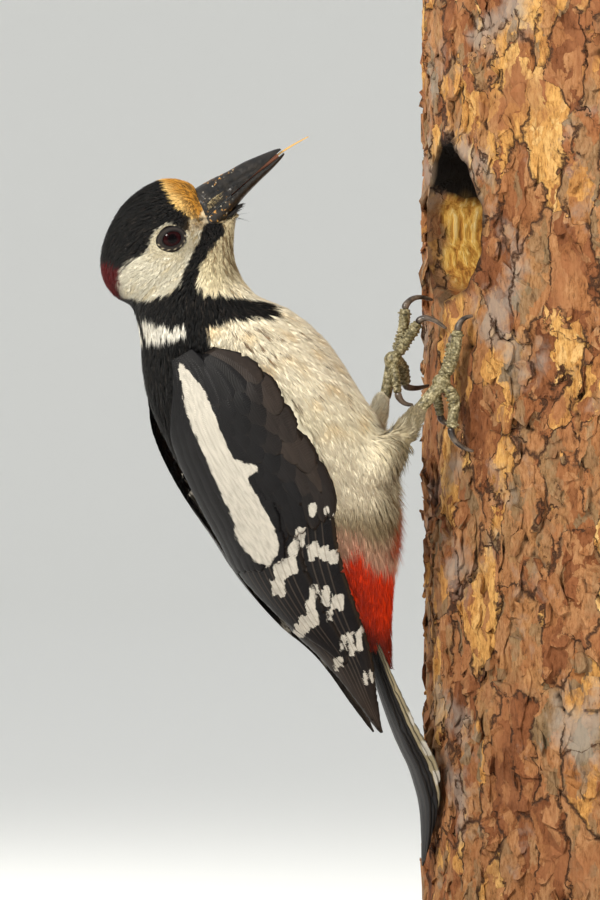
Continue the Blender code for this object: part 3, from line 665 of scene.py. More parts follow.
def scale_material():
    """Leg and toe scales: dry horny skin, olive grey, with painted shade that darkens them between their
    raised middles.
    """
    made, add, surface = shader("scaly leg skin", IOR=1.5, Roughness=0.5, Specular_IOR_Level=0.5)
    place = add("TexCoord").outputs["Object"]
    pores = add("TexVoronoi", {"Vector": place, "Scale": 1300.0})
    mottle = add("TexNoise", {"Vector": place, "Scale": 900.0, "Detail": 5.0})
    body = add(
        "ValToRGB", {"Fac": mottle},
        ((0.32, "4e4834"), (0.46, "7d7453"), (0.58, "9a9070"), (0.72, "c6bb96"))
    )
    # Darker away from each raised cell middle: painted shade in the low parts between the scales.
    dirt_and_shade = add("ValToRGB", {"Fac": pores}, ((0.3, "ffffff"), (0.8, "a09878")))
    mixed = add("Mix", {0: 1.0, 6: body, 7: dirt_and_shade}, **DARKENED)
    plug(surface, "Base Color", mixed)
    plug(surface, "Normal", add("Bump", {"Height": pores, "Strength": 0.45, "Distance": -0.0003}))
    return made


# What the bark's points carry: Deep is painted shade in its cracks and at the hole's rim, Wood bare wood,
# Dark painted shadow in the hole, Rot rotten wood.
BARK_FACTS = ("Deep", "Wood", "Dark", "Rot")


def bark_material():
    """Scots pine bark, upper trunk: thin papery plates, matt, some freshly shed to show ochre."""
    made, add, surface = shader("pine bark", IOR=1.45, Roughness=0.85, Specular_IOR_Level=0.25)
    place = add("TexCoord").outputs["Object"]
    deep, wood, dark, rot = (add("Attribute", attribute_name=name).outputs["Fac"] for name in BARK_FACTS)
    bend = add("TexNoise", {"Vector": place, "Scale": 75.0, "Detail": 6.0, "Roughness": 0.6})
    bent = add("VectorMath", {0: place, 1: wander(add, bend, 0.015)}, operation="ADD")
    # Plates 12 mm wide and 28 mm high, and flakes of a third of that.
    wide = add("Mapping", {"Vector": bent, "Scale": (1.0, 1.0, 0.42)})
    plates = add("TexVoronoi", {"Vector": wide, "Scale": 82.0})
    cracks = add("TexVoronoi", {"Vector": wide, "Scale": 82.0}, feature="DISTANCE_TO_EDGE")
    flakes = add("TexVoronoi", {"Vector": wide, "Scale": 250.0})
    plate, flake = (add("SeparateColor", {"Color": own.outputs["Color"]}) for own in (plates, flakes))
    along = add("Mapping", {"Vector": place, "Scale": (1.0, 1.0, 0.35)})
    grain = add("TexNoise", {"Vector": along, "Scale": 900.0, "Detail": 9.0, "Roughness": 0.8})
    cloud = add("TexNoise", {"Vector": place, "Scale": 45.0, "Detail": 6.0, "Roughness": 0.6})
    own_shade = add("Mix", {0: 0.34, 2: plate, 3: flake}, data_type="FLOAT")
    body = add("ValToRGB", {"Fac": own_shade}, (
        (0.0, "74482e"), (0.22, "905c3a"), (0.30, "a8754c"), (0.40, "b98a60"), (0.50, "8a765a"),
        (0.58, "b98a5c"), (0.66, "9a6340"), (0.70, "cf9c5a"), (0.85, "dfb06a"), (1.0, "e8c488"),
    ))
    grime = add("ValToRGB", {"Fac": grain}, ((0.38, "6c5442"), (0.47, "dccbb6"), (0.60, "ffffff")))
    body = add("Mix", {0: 0.8, 6: body, 7: grime}, **DARKENED)
    for low, high, code in ((0.46, 0.36, "9c6642"), (0.54, 0.66, "a39a8e")):  # rust, then grey
        share = add("MapRange", {"Value": cloud, "From Min": low, "From Max": high, "To Max": 0.6})
        body = add("Mix", {0: share, 6: body, 7: rgb(code)}, **OVER)
    # Cracks show only along some of the plates' edges.
    here = add("MapRange", {
        "Value": flake.outputs["Green"], "From Min": 0.62, "From Max": 0.40, "To Min": 0.0045, "To Max": 0.05,
    })
    line = add("MapRange", {"Value": cracks, "From Min": 0.004, "From Max": here})
    body = add("Mix", {0: line, 6: rgb("4c3222"), 7: body}, **OVER)
    # Bare wood where the bark is gone, rotten in places; painted shade in the cracks and at the hole's rim,
    # and painted shadow inside the hole.
    drawn = add("Mapping", {"Vector": place, "Scale": (1.0, 1.0, 0.07)})
    fibre = add("TexNoise", {"Vector": drawn, "Scale": 480.0, "Detail": 6.0, "Roughness": 0.66})
    bare = add("ValToRGB", {"Fac": fibre}, (
        (0.32, "6e4218"), (0.45, "b88238"), (0.56, "e0b45a"), (0.72, "f6e6ac"),
    ))
    rotten = add("Math", {0: cloud, 1: 1.4, 2: -0.7}, operation="MULTIPLY_ADD")
    aged = add("Math", {0: rot, 1: rotten}, operation="ADD", use_clamp=True)
    wooden = add("Mix", {0: aged, 6: bare, 7: rgb("85512a")}, **OVER)
    for share, over in ((deep, rgb("2a1a12")), (wood, wooden), (dark, rgb("0d0805"))):
        body = add("Mix", {0: share, 6: body, 7: over}, **OVER)
    plug(surface, "Base Color", body)
    step = add("Math", {0: own_shade, 1: -1.4}, operation="MULTIPLY")
    groove = add("Math", {0: step, 1: line}, operation="ADD")
    rough = add("Math", {0: grain, 1: 0.9, 2: groove}, operation="MULTIPLY_ADD")
    relief = add("Mix", {0: wood, 2: rough, 3: fibre}, data_type="FLOAT")
    plug(surface, "Normal", add("Bump", {"Height": relief, "Strength": 1.0, "Distance": 0.0010}))
    return made


def walnut_material():
    """Oiled walnut board: long dark grain with a low satin gloss."""
    made, add, surface = shader("oiled walnut", IOR=1.5, Roughness=0.42, Coat_Weight=0.15, Coat_Roughness=0.3)
    place = add("TexCoord").outputs["Object"]
    drawn = add("Mapping", {"Vector": place, "Scale": (0.06, 1.0, 1.0)})
    figure = add("TexNoise", {"Vector": drawn, "Scale": 120.0, "Detail": 8.0, "Distortion": 0.6})
    body = add("ValToRGB", {"Fac": figure}, ((0.30, "2e1a10"), (0.50, "5a3824"), (0.68, "7d5436")))
    plug(surface, "Base Color", body)
    pores = add("TexNoise", {"Vector": drawn, "Scale": 1400.0, "Detail": 3.0})
    plug(surface, "Normal", add("Bump", {"Height": pores, "Strength": 0.25, "Distance": 0.0002}))
    return made


def steel_material():
    """Turned stainless steel rod: fine rings round it."""
    made, add, surface = shader(
        "turned stainless steel", Metallic=1.0, Roughness=0.32, Base_Color=rgb("b6b5b2"),
    )
    place = add("TexCoord").outputs["Object"]
    drawn = add("Mapping", {"Vector": place, "Scale": (0.02, 0.02, 1.0)})
    rings = add("TexNoise", {"Vector": drawn, "Scale": 2600.0, "Detail": 2.0})
    plug(surface, "Normal", add("Bump", {"Height": rings, "Strength": 0.15, "Distance": 0.0001}))
    return made


PALE_FEATHER = feather_material("pale contour feathers", 0.8, 0.18, 0.03)
BLACK_FEATHER = feather_material("black contour feathers", 0.5, 0.28, 0.0)
VANE = vane_material()
BILL_HORN = horn_material("bill horn", "0b0908", "231e19", "a8793a", 0.30)
CLAW_HORN = horn_material("claw horn", "241d19", "6b5d50", "8a7a60", 0.28)
SCALES = scale_material()
BARK = bark_material()
WALNUT = walnut_material()
STEEL = steel_material()


# The skin: one surface over head, neck, body and thighs, sunk below the solids by the coat's depth.

FLESH = ("head", "neck", "trunk", "rump", "thigh_right", "thigh_left")
EYE_WIDE, EYE_HIGH, LID_TURN = 3.1, 2.35, -0.34
LID_EDGE = 1.46  # where feathers start, as a share of the eye's opening
LID_SIDE = 12.2  # how far from the middle plane the skin round the lids lies
LID_SIDES = 40  # points round each ring of the lids
INSET = 0.6  # how much deeper the skin lies over the neck, head and breast


def eye_centre(sign):
    return from_head([(EYE_ALONG, sign * EYE_OUT, EYE_UP)])[0]


def near_eye(points):
    """How far places in the bird's frame lie from the middle of the nearer eye."""
    return np.minimum(*(np.linalg.norm(points - eye_centre(sign), axis=1) for sign in (-1.0, 1.0)))


def eye_ring(points):
    """How many times the eye's half opening places lie from its middle; 9 away from the sides."""
    head = head_frame(points)
    da, du = head[:, 0] - EYE_ALONG, head[:, 2] - EYE_UP
    a = da * math.cos(LID_TURN) + du * math.sin(LID_TURN)
    b = du * math.cos(LID_TURN) - da * math.sin(LID_TURN)
    return np.where(abs(head[:, 1]) > 6.0, np.hypot(a / EYE_WIDE, b / EYE_HIGH), 9.0)


def lid_rings(sign):
    """The bare ring and lids round an eye: an opening longer along the bill than across it."""
    rings = []
    for scale, lift in (
        (0.90, 0.02), (0.96, 0.34), (1.03, 0.50), (1.10, 0.40), (1.17, 0.18), (1.26, 0.32), (1.36, 0.16),
        (1.50, 0.04), (1.75, -0.5),
    ):
        ring = []
        for a in full_turn(LID_SIDES).tolist():
            wide, high = EYE_WIDE * scale * math.cos(a), EYE_HIGH * scale * math.sin(a)
            x = wide * math.cos(LID_TURN) - high * math.sin(LID_TURN)
            z = wide * math.sin(LID_TURN) + high * math.cos(LID_TURN)
            wrinkle = 0.05 * math.sin(9.0 * a) * (scale > 1.1)
            radius = EYE_RADIUS + lift + wrinkle
            y = math.sqrt(max(radius * radius - x * x - z * z, 0.01))
            level = LID_SIDE + (0.35 if scale < 1.45 else 0.15 if scale < 1.6 else -0.9) - EYE_OUT
            y += (level - y) * float(ease(1.08, 1.40, np.array(scale)))
            if scale < 1.6:
                y = max(y, math.sqrt(max(EYE_RADIUS ** 2 - x * x - z * z, 0.0)) + 0.12)
            ring.append((x, sign * y, z))
        rings.append(ring)
    local = np.array(rings).reshape(-1, 3) + np.array([EYE_ALONG, sign * EYE_OUT, EYE_UP])
    faces = grid_faces(np.arange(len(local)).reshape(-1, LID_SIDES), wrap=True)
    return from_head(local), faces if sign > 0 else faces[:, ::-1]


def make_skin():
    """The skin's mesh: the solids closed over and sunk by the coat's depth, level round the lids."""
    mesh = closed_round(FLESH, 0.4, 0.9, 6)
    points, outward = unposed(points_of(mesh)), normals_of(mesh)
    length = lie(points)[1]
    depth = coat_depth(length) + 0.4 + INSET * ease(-70, -90, points[:, 0])
    brow = head_frame(points)
    depth -= 1.5 * np.exp(-((brow[:, 0] + 3.0) / 7.0) ** 2) * ease(4, 9, brow[:, 2])
    depth *= ease(3.6, 8, near_eye(points)) * 0.85 + 0.15
    ahead = np.zeros_like(points)
    sink = outward.copy()
    for hand, leg in zip(("right", "left"), LEG_ENDS):
        way = unit(points_of(NODES[f"shank_{hand}"].data).mean(axis=0) - leg)
        far = np.linalg.norm(points - leg, axis=1)
        end = ease(5, 1.5, far)
        depth = np.maximum(depth * (0.15 + 0.85 * ease(1, 12, far)), 0.75 * end)
        sink -= way * (np.sum(outward * way, axis=1) * end)[:, None]
        ahead += way * (1.5 * end)[:, None]
    sunk = points - sink * depth[:, None] + ahead
    head = head_frame(sunk)
    ring, side = eye_ring(sunk), abs(head[:, 1])
    level = np.where(side < LID_SIDE, ease(1.95, 1.5, ring) * ease(1.15, 1.3, ring), ease(3.2, 1.7, ring))
    head[:, 1] = np.sign(head[:, 1]) * (side + (LID_SIDE - side) * level)
    mesh.vertices.foreach_set("co", (posed(from_head(head)) * MM).astype(np.float32).ravel())
    mesh.update()
    return mesh


skin_mesh = make_skin()
skin_tree = tree_of(skin_mesh)
skin_count = len(skin_mesh.vertices)
lid_meshes = []
for sign in (-1.0, 1.0):
    lids, lid_faces = lid_rings(sign)
    lid_meshes.append(new_mesh("lids", posed(lids), lid_faces))
skin_whole = joined("skin", [skin_mesh.copy(), *lid_meshes])
places = unposed(points_of(skin_whole))
skin_colours = plumage(places) * 0.95
# Round the eye the pale skin is laid grey-buff: its off-white, with painted shade.
near = ease(2.4, 1.5, eye_ring(places)) * (skin_colours.mean(axis=1) > 0.2)
skin_colours = lay(skin_colours, "a39878", 0.7 * near)
ring = eye_ring(places[skin_count:])
lid_colours = np.tile(linear("100e0e"), (len(ring), 1))
lid_colours = lay(lid_colours, "39322e", ease(1.05, 1.14, ring) * ease(1.40, 1.28, ring))
lid_colours = lay(lid_colours, "121010", ease(1.14, 1.17, ring) * ease(1.23, 1.19, ring))
# A row of pale beads along the lower edge of the bare ring.
step = np.arange(len(ring))
bead = ((step // LID_SIDES) % 9 == 6) & (step % 3 == 0) & (step % LID_SIDES > 19)
lid_colours[bead] = linear("a99e86")
skin_colours[skin_count:] = lid_colours
paint(skin_whole, skin_colours)
map_to(skin_whole, unwrap(places))
finish_piece("skin", skin_whole, [PALE_FEATHER], "cream_plumage", *FLESH)


# The coat of small feathers.

FEATHERED = ("wing_right", "wing_left", "tail")
STATIONS = np.array([0.0, 0.5, 1.0])
STRANDS = 7
# Where the bill's horn begins, as places (up, along): no feathers grow past them.
BILL_LINE = (
    (-9, 9), (-4.6, 8.6), (-4.4, -4.6), (-1.3, -6.2), (0, -5.2), (2.9, -3), (6.1, -0.4), (7.6, 2.2),
    (9, 3.2)
)


def roots_on(mesh, count, rng):
    """Random places on a mesh, even over its area, with the normals there."""
    points, normals = points_of(mesh), normals_of(mesh)
    mesh.calc_loop_triangles()
    corners = np.zeros(len(mesh.loop_triangles) * 3, np.int32)
    mesh.loop_triangles.foreach_get("vertices", corners)
    corners = corners.reshape(-1, 3)
    a, b, c = (points[corners[:, k]] for k in range(3))
    area = np.linalg.norm(np.cross(b - a, c - a), axis=1)
    chosen = rng.choice(len(corners), count, p=area / area.sum())
    r1, r2 = np.sqrt(rng.random(count)), rng.random(count)
    shares = np.stack([1.0 - r1, r1 * (1.0 - r2), r1 * r2], axis=1)
    places = sum(shares[:, k, None] * points[corners[chosen, k]] for k in range(3))
    outward = unit(sum(shares[:, k, None] * normals[corners[chosen, k]] for k in range(3)))
    return places, outward


def thinned(places, spacing, cell=1.5):
    """Which places to keep, so that none stands nearer another than its spacing."""
    kept, grid = [], {}
    keys = np.floor(places / cell).astype(int)
    around = [(i, j, k) for i in (-1, 0, 1) for j in (-1, 0, 1) for k in (-1, 0, 1)]
    for n, (key, place, gap) in enumerate(zip(keys.tolist(), places.tolist(), spacing.tolist())):
        near = False
        for i, j, k in around:
            for x, y, z in grid.get((key[0] + i, key[1] + j, key[2] + k), ()):
                if (x - place[0]) ** 2 + (y - place[1]) ** 2 + (z - place[2]) ** 2 < gap * gap:
                    near = True
                    break
            if near:
                break
        if not near:
            grid.setdefault(tuple(key), []).append(place)
            kept.append(n)
    return np.array(kept)


def nearest_on(tree, points):
    """The nearest places on a surface, with the normals there."""
    places, outward = np.empty_like(points), np.empty_like(points)
    for n, point in enumerate(points.tolist()):
        place, normal, _, _ = tree.find_nearest(point)
        places[n], outward[n] = place, normal
    return places, outward


def tuft_arrays(roots, outward, ways, length, width, space, depth, loose, colours, uv, rng):
    """Tufts of narrow tapered strands that lie along the skin. Each strand is closed, with a low ridge.

    Where the coat is loose, some strands stand off it.
    """
    count = len(roots)
    middle = nearest_on(skin_tree, roots + ways * (0.5 * length)[:, None])[0]
    end, end_up = nearest_on(skin_tree, middle + (middle - roots))
    t = STATIONS[None, None, :] * rng.uniform(0.74, 1.14, (count, STRANDS, 1))
    shares = ((1.0 - t) * (1.0 - 2.0 * t), 4.0 * t * (1.0 - t), t * (2.0 * t - 1.0))
    line = sum(s[..., None] * p[:, None, None, :] for s, p in zip(shares, (roots, middle, end)))
    up = unit(outward[:, None, None] * (1.0 - t[..., None]) + end_up[:, None, None] * t[..., None])
    across = unit(np.cross(up, ways[:, None, None, :]))
    fan = np.linspace(-1.0, 1.0, STRANDS)[None, :, None]
    start = rng.uniform(-0.6, 0.6, (count, STRANDS, 1))
    spread = fan * 0.6 + rng.uniform(-0.2, 0.2, (count, STRANDS, 1))
    off = (start * (1.0 - t) + spread * t * 1.1) * space[:, None, None]
    lift = rng.uniform(-0.10, 0.10, (count, STRANDS, 1)) + rng.uniform(-0.06, 0.08, (count, 1, 1))
    stray = loose[:, None, None] * np.maximum(0.3 + 6.0 * lift, 0.0)
    rise = (-0.25 + 1.05 * t ** 0.7 + lift * t + stray * t * t) * depth[:, None, None]
    centre = line + across * off[..., None] + up * rise[..., None]
    half = 0.5 * width[:, None, None, None] * np.array([0.8, 1.0, 0.0])[:, None]
    left, right, ridge = centre - across * half, centre + across * half, centre + up * half * 0.5
    sides = np.stack([left, right, ridge], axis=3)[:, :, :2]
    points = np.concatenate([sides.reshape(count, STRANDS, 6, 3), centre[:, :, 2:3]], axis=2)
    faces = [(0, 1, 2), (4, 3, 6), (5, 4, 6), (3, 5, 6)]
    for a, b in ((0, 1), (1, 2), (2, 0)):
        faces += [(b, a, 3 + a), (b, 3 + a, 3 + b)]
    faces = np.array(faces)[None] + 7 * np.arange(count * STRANDS)[:, None, None]
    # Strands are painted darker at the root and a little lighter at the tip: painted shade under the
    # overlapping coat.
    shade = np.array([0.88] * 3 + [0.99] * 3 + [1.05])
    tone = rng.uniform(0.92, 1.08, (count, STRANDS, 1, 1)) * rng.uniform(0.94, 1.06, (count, 1, 1, 1))
    dark = colours.mean(axis=1) < 0.02
    # About one black strand in eight is laid brown-grey: painted glints.
    wear_and_glint = (rng.random((count, STRANDS)) < 0.13)[..., None, None] & dark[:, None, None, None]
    tint = colours[:, None, None, :] * tone * shade[None, None, :, None]
    tint = np.where(wear_and_glint, linear("3c342e") * rng.uniform(0.2, 1.0, (count, STRANDS, 1, 1)), tint)
    along = np.array([0.0] * 3 + [0.5] * 3 + [1.0])
    patch = np.stack([np.broadcast_to(fan * 0.5 + 0.5, (count, STRANDS, 7)),
                      np.broadcast_to(along, (count, STRANDS, 7))], axis=3)
    where = uv[:, None, None, :] + 0.003 * patch
    return points.reshape(-1, 3), faces.reshape(-1, 3), tint.reshape(-1, 3), where.reshape(-1, 2)


def regions(rest, head):
    """The part of the coat that each root belongs to, as an index in REGIONS."""
    x, z, along, up = rest[:, 0], rest[:, 2], head[:, 0], head[:, 2]
    red = (z < 147.0) & (wing_frame(rest)[:, 1] > 3.0)
    choices = (
        red, z < 160.0, z < 182.0, (z < 204.0) | ((x > -104.0) & (z < 222.0)), up < -11.5, along > -13.0,
        up > 3.0
    )
    return np.select(choices, (0, 1, 2, 3, 4, 5, 6), 7)


REGIONS = (
    ("vent", "red_plumage"), ("belly", "cream_plumage"), ("flank", "cream_plumage"),
    ("breast", "cream_plumage"), ("neck", "black_plumage"), ("forehead", "black_plumage"),
    ("crown", "black_plumage"), ("cheek", "cream_plumage")
)


def grow_coat():
    """Root the tufts over the skin, leaving out what the wings and tail cover, and build the pieces."""
    rng = np.random.default_rng(SEED)
    roots, outward = roots_on(skin_mesh, 300000, rng)
    rest = unposed(roots)
    space = lie(rest)[3]
    head = head_frame(rest)
    ring = eye_ring(rest)
    up, along = np.array(BILL_LINE).T
    limit = np.interp(head[:, 2], up, along)
    use = (ring > LID_EDGE) & (head[:, 0] < limit)
    for leg in LEG_ENDS:
        use &= np.linalg.norm(rest - leg, axis=1) > 0.4
    kept = np.flatnonzero(use)
    kept = kept[thinned(roots[kept], space[kept])]
    solids = tree_of(solid_copy(FEATHERED, 0.0))
    open_air = [
        n for n in kept
        if solids.ray_cast(Vector(roots[n] + outward[n] * 0.2), Vector(outward[n]), 9.0)[0] is None
    ]
    kept = np.array(open_air)
    roots, outward, rest, head, ring, limit = (a[kept] for a in (roots, outward, rest, head, ring, limit))
    ways, length, width, space = lie(rest)
    # Round the eye, at the bill and on the legs the feathers are smallest.
    length = length * np.where(ring < 2.2, 0.42 + 0.5 * np.clip(ring - LID_EDGE, 0.0, 1.0), 1.0)
    length = length * (0.55 + 0.45 * np.maximum(ease(0, 3, limit - head[:, 0]), ease(2, 4, head[:, 2])))
    for leg in LEG_ENDS:
        far = np.linalg.norm(rest - leg, axis=1)
        length = np.minimum(length, 2.6 + 0.42 * far)
    ahead = posed(rest + ways * 0.5) - posed(rest)
    ahead += 0.05 * rng.normal(size=ahead.shape)
    ahead = unit(ahead - outward * np.sum(ahead * outward, axis=1, keepdims=True))
    colours = plumage(rest + ways * (0.55 * length)[:, None])
    below = ease(-0.3, 0.8, head[:, 0] - EYE_ALONG + EYE_UP - head[:, 2])
    colours = lay(colours, "3a342c", 0.8 * ease(1.80, 1.62, ring) * below)
    # Pale tufts round the eye are laid grey-buff too: their off-white, with painted shade.
    colours = lay(colours, "b5a98c", 0.75 * ease(3, 2, ring) * (colours.mean(axis=1) > 0.5))
    depth = coat_depth(length) * (0.35 + 0.65 * ease(1.3, 2.6, ring)) * (
        0.5 + 0.5 * ease(0, 3, limit - head[:, 0])
    )
    x, z = rest[:, 0], rest[:, 2]
    loose = 1.2 * ease(184, 172, z) * ease(138, 150, z) * ease(-66, -52, x)
    uv = unwrap(rest)
    bright = colours @ np.array([0.3, 0.6, 0.1])
    region = regions(rest, head)
    facts = (roots, outward, ahead, length, width, space, depth, loose, colours, uv)
    for number_of, (place, slot) in enumerate(REGIONS):
        for hand, mine in (("right", rest[:, 1] < 0.0), ("left", rest[:, 1] >= 0.0)):
            mine = np.flatnonzero((region == number_of) & mine)
            if not len(mine):
                continue
            points, faces, tint, where = tuft_arrays(*(fact[mine] for fact in facts), rng)
            mesh = new_mesh(f"{place}_coat_{hand}", points, faces)
            paint(mesh, tint)
            map_to(mesh, where)
            dark = np.repeat(bright[mine] < 0.05, STRANDS * 10)
            mesh.polygons.foreach_set("material_index", dark.astype(np.int32))
            finish_piece(mesh.name, mesh, [PALE_FEATHER, BLACK_FEATHER], slot)


grow_coat()


# Vanes: the larger feathers of wings and tail, laid on the surfaces that they wrap.


def curve(rows, steps):
    """Rows on a smooth curve through the given rows."""
    rows = np.array(rows, float)
    padded = np.concatenate([rows[:1], rows, rows[-1:]])
    out = []
    for k in range(len(rows) - 1):
        a, b, c, d = padded[k:k + 4]
        for t in np.arange(steps) / steps:
            out.append(b + 0.5 * t * (c - a + t * (2 * a - 5 * b + 4 * c - d + t * (3 * (b - c) + d - a))))
    out.append(rows[-1])
    return np.array(out)


class Surface:
    """A surface over (s, p): s millimetres along it, p a share of the way across it."""

    def __init__(self, s, p, points):
        self.s, self.p, self.points = s, p, points
        self.normals = unit(np.cross(np.gradient(points, axis=1), np.gradient(points, axis=0)))

    def at(self, s, p):
        """Places and normals at (s, p)."""
        i = np.interp(s, self.s, np.arange(len(self.s)))
        j = np.interp(p, self.p, np.arange(len(self.p)))
        i0 = np.clip(i.astype(int), 0, len(self.s) - 2)
        j0 = np.clip(j.astype(int), 0, len(self.p) - 2)
        fi, fj = (i - i0)[..., None], (j - j0)[..., None]
        out = []
        for grid in (self.points, self.normals):
            top = grid[i0, j0] * (1 - fj) + grid[i0, j0 + 1] * fj
            low = grid[i0 + 1, j0] * (1 - fj) + grid[i0 + 1, j0 + 1] * fj
            out.append(top * (1 - fi) + low * fi)
        return out[0], unit(out[1])

    def reach(self, s, p):
        """Millimetres across the surface for one whole p."""
        a, b = self.at(s, p - 0.02)[0], self.at(s, p + 0.02)[0]
        return np.linalg.norm(b - a, axis=-1) / 0.04


# Sections of the folded wing, as its feathers cover it: back and front of the form that it wraps,
# its half width, and the angles round it where the wing begins and ends.
WING = (
    (-125, 196, -84, 222, 18.6, 114, 136),
    (-123.4, 190.2, -79.8, 216.5, 22.4, 101, 141),
    (-121.6, 182.4, -73.4, 211.6, 25.6, 93.5, 150),
    (-118.8, 173.9, -67, 206.6, 28.2, 93, 158),
    (-111, 160.4, -56.8, 192.5, 28.8, 93.5, 163),
    (-100.2, 146, -46.2, 175.4, 26.6, 94, 171),
    (-91.8, 133.7, -42.7, 154.4, 21.6, 98, 175),
    (-79.4, 120.2, -43.9, 135.8, 16.6, 100, 176),
    (-67, 109.4, -46.1, 118.4, 12.2, 100, 176),
    (-57.1, 96.2, -47.3, 101, 8.4, 95, 176),
    (-49.6, 86.6, -46.4, 88.2, 4.6, 92, 172),
)
TAIL = (
    (-54.5, 122, 5), (-49.1, 108.5, 7.2), (-44.3, 96.5, 9.4), (-39.6, 86, 11),
    (-35.4, 78.2, 11.8), (-32.9, 71.6, 11.4), (-31.4, 66.2, 10.2), (-30.8, 59.9, 7.6),
    (-30.8, 53.3, 4.6), (-31.2, 47.2, 1.6),
)
TAIL_ARCH = 1.6


def wing_surface():
    """The right wing's outer surface. The left wing is its mirror image."""
    rows = curve(WING, 8)
    p = np.linspace(-0.3, 1.06, 35)
    points = []
    for bx, bz, fx, fz, half, first, last in rows:
        angle = np.radians(first + (last - first) * p)
        share = 0.5 * (1.0 - np.cos(angle))
        points.append(
            np.stack([fx + (bx - fx) * share, -half * np.sin(angle), fz + (bz - fz) * share], axis=1)
        )
    middle = np.stack(
        [0.5 * (rows[:, 0] + rows[:, 2]), 0.0 * rows[:, 0], 0.5 * (rows[:, 1] + rows[:, 3])], axis=1,
    )
    return Surface(wing_frame(middle)[:, 0], p, np.array(points))


def tail_surface():
    """The tail's outer surface, away from the trunk."""
    rows = curve(TAIL, 8)
    q = np.linspace(-1.4, 1.4, 29)
    ahead = unit(np.gradient(rows[:, :2], axis=0))
    side = rows[:, 2, None] * q[None, :]
    rise = TAIL_ARCH * (side / 12.0) ** 2 - 1.0
    x = rows[:, 0, None] - ahead[:, 1, None] * rise
    z = rows[:, 1, None] + ahead[:, 0, None] * rise
    lengths = np.concatenate([[0.0], np.cumsum(np.linalg.norm(np.diff(rows[:, :2], axis=0), axis=1))])
    return Surface(lengths, q, np.stack([x, side, z], axis=2))


# Each kind of vane: the share of its length by which it is at full width, its width at its root,
# where it starts to narrow, over how much more it ends, and how squarely.
VANE_SHAPES = {
    "flight": (0.12, 0.25, 0.62, 0.385, 2.2), "covert": (0.3, 0.2, 0.50, 0.505, 2.4),
    "scale": (0.4, 0.3, 0.62, 0.385, 2.0)
}


def outline(kind, v):
    """A vane's half width along its length, as a share of its widest."""
    full, root, narrow, end, power = VANE_SHAPES[kind]
    tip = np.clip(1.0 - (np.clip(v - narrow, 0, 1) / end) ** power, 0.0, 1.0)
    return np.clip(v / full, root, 1.0) ** 0.5 * np.sqrt(tip)


U_LINES = np.array([-1.0, -0.66, -0.32, -0.05, 0.05, 0.32, 0.66, 1.0])


def vane(surface, kind, root, tip, half, height, tilt, rows, rng, bow=0.0, camber=0.35, thick=0.14):
    """One vane as arrays: points, faces, barb line, place across and along."""
    v = np.linspace(0.0, 1.0, rows + 1) ** 0.85
    u = U_LINES[None, :]
    wide = outline(kind, v)[:, None] * half
    edge = np.ones((rows + 1, 8))
    ragged = 0.04 * rng.normal(size=(rows + 1, 2))
    for _ in range(max(1, rows // 7)):
        ragged[rng.integers(1, rows), rng.integers(0, 2)] -= rng.uniform(0.08, 0.28)
    edge[:, 0] += ragged[:, 0]
    edge[:, 7] += ragged[:, 1]
    s0, p0 = root
    s1, p1 = tip
    along = np.broadcast_to(v[:, None], (rows + 1, 8))
    s = s0 + (s1 - s0) * along - 0.22 * wide * abs(u) ** 1.6
    p_line = p0 + (p1 - p0) * v + bow * v * (1.0 - v)
    reach = surface.reach(s0 + (s1 - s0) * v, p_line)[:, None]
    p = p_line[:, None] + u * edge * wide / np.maximum(reach, 2.0)
    place, normal = surface.at(s, p)
    lift = height + tilt * u + camber * (1.0 - u * u) * np.clip(wide / half, 0, 1) - 0.5 * (1.0 - along) ** 3
    lift = lift + 0.13 * np.exp(-((u / 0.1) ** 2)) * (1.0 - along)
    top = place + normal * lift[..., None]
    low = top - normal * (thick * (1.0 - 0.4 * abs(u)))[..., None]
    count = (rows + 1) * 8
    index = np.arange(count).reshape(rows + 1, 8)
    under = index.copy()
    under[1:-1, 1:-1] = count + np.arange((rows - 1) * 6).reshape(rows - 1, 6)
    points = np.concatenate([top.reshape(-1, 3), low[1:-1, 1:-1].reshape(-1, 3)])
    quads = np.concatenate([grid_faces(index), grid_faces(under)[:, [0, 3, 2, 1]]])
    long = abs(s1 - s0)
    barb = along * long - 1.2 * abs(u * wide)
    cross = np.broadcast_to(u * 0.5 + 0.5, (rows + 1, 8))
    rim = np.minimum((1.0 - abs(u)) * wide, (1.0 - along) * long)
    facts = np.stack([barb, cross, along, rim], axis=-1)
    facts = np.concatenate([facts.reshape(-1, 4), facts[1:-1, 1:-1].reshape(-1, 4)])
    return points, quads, facts


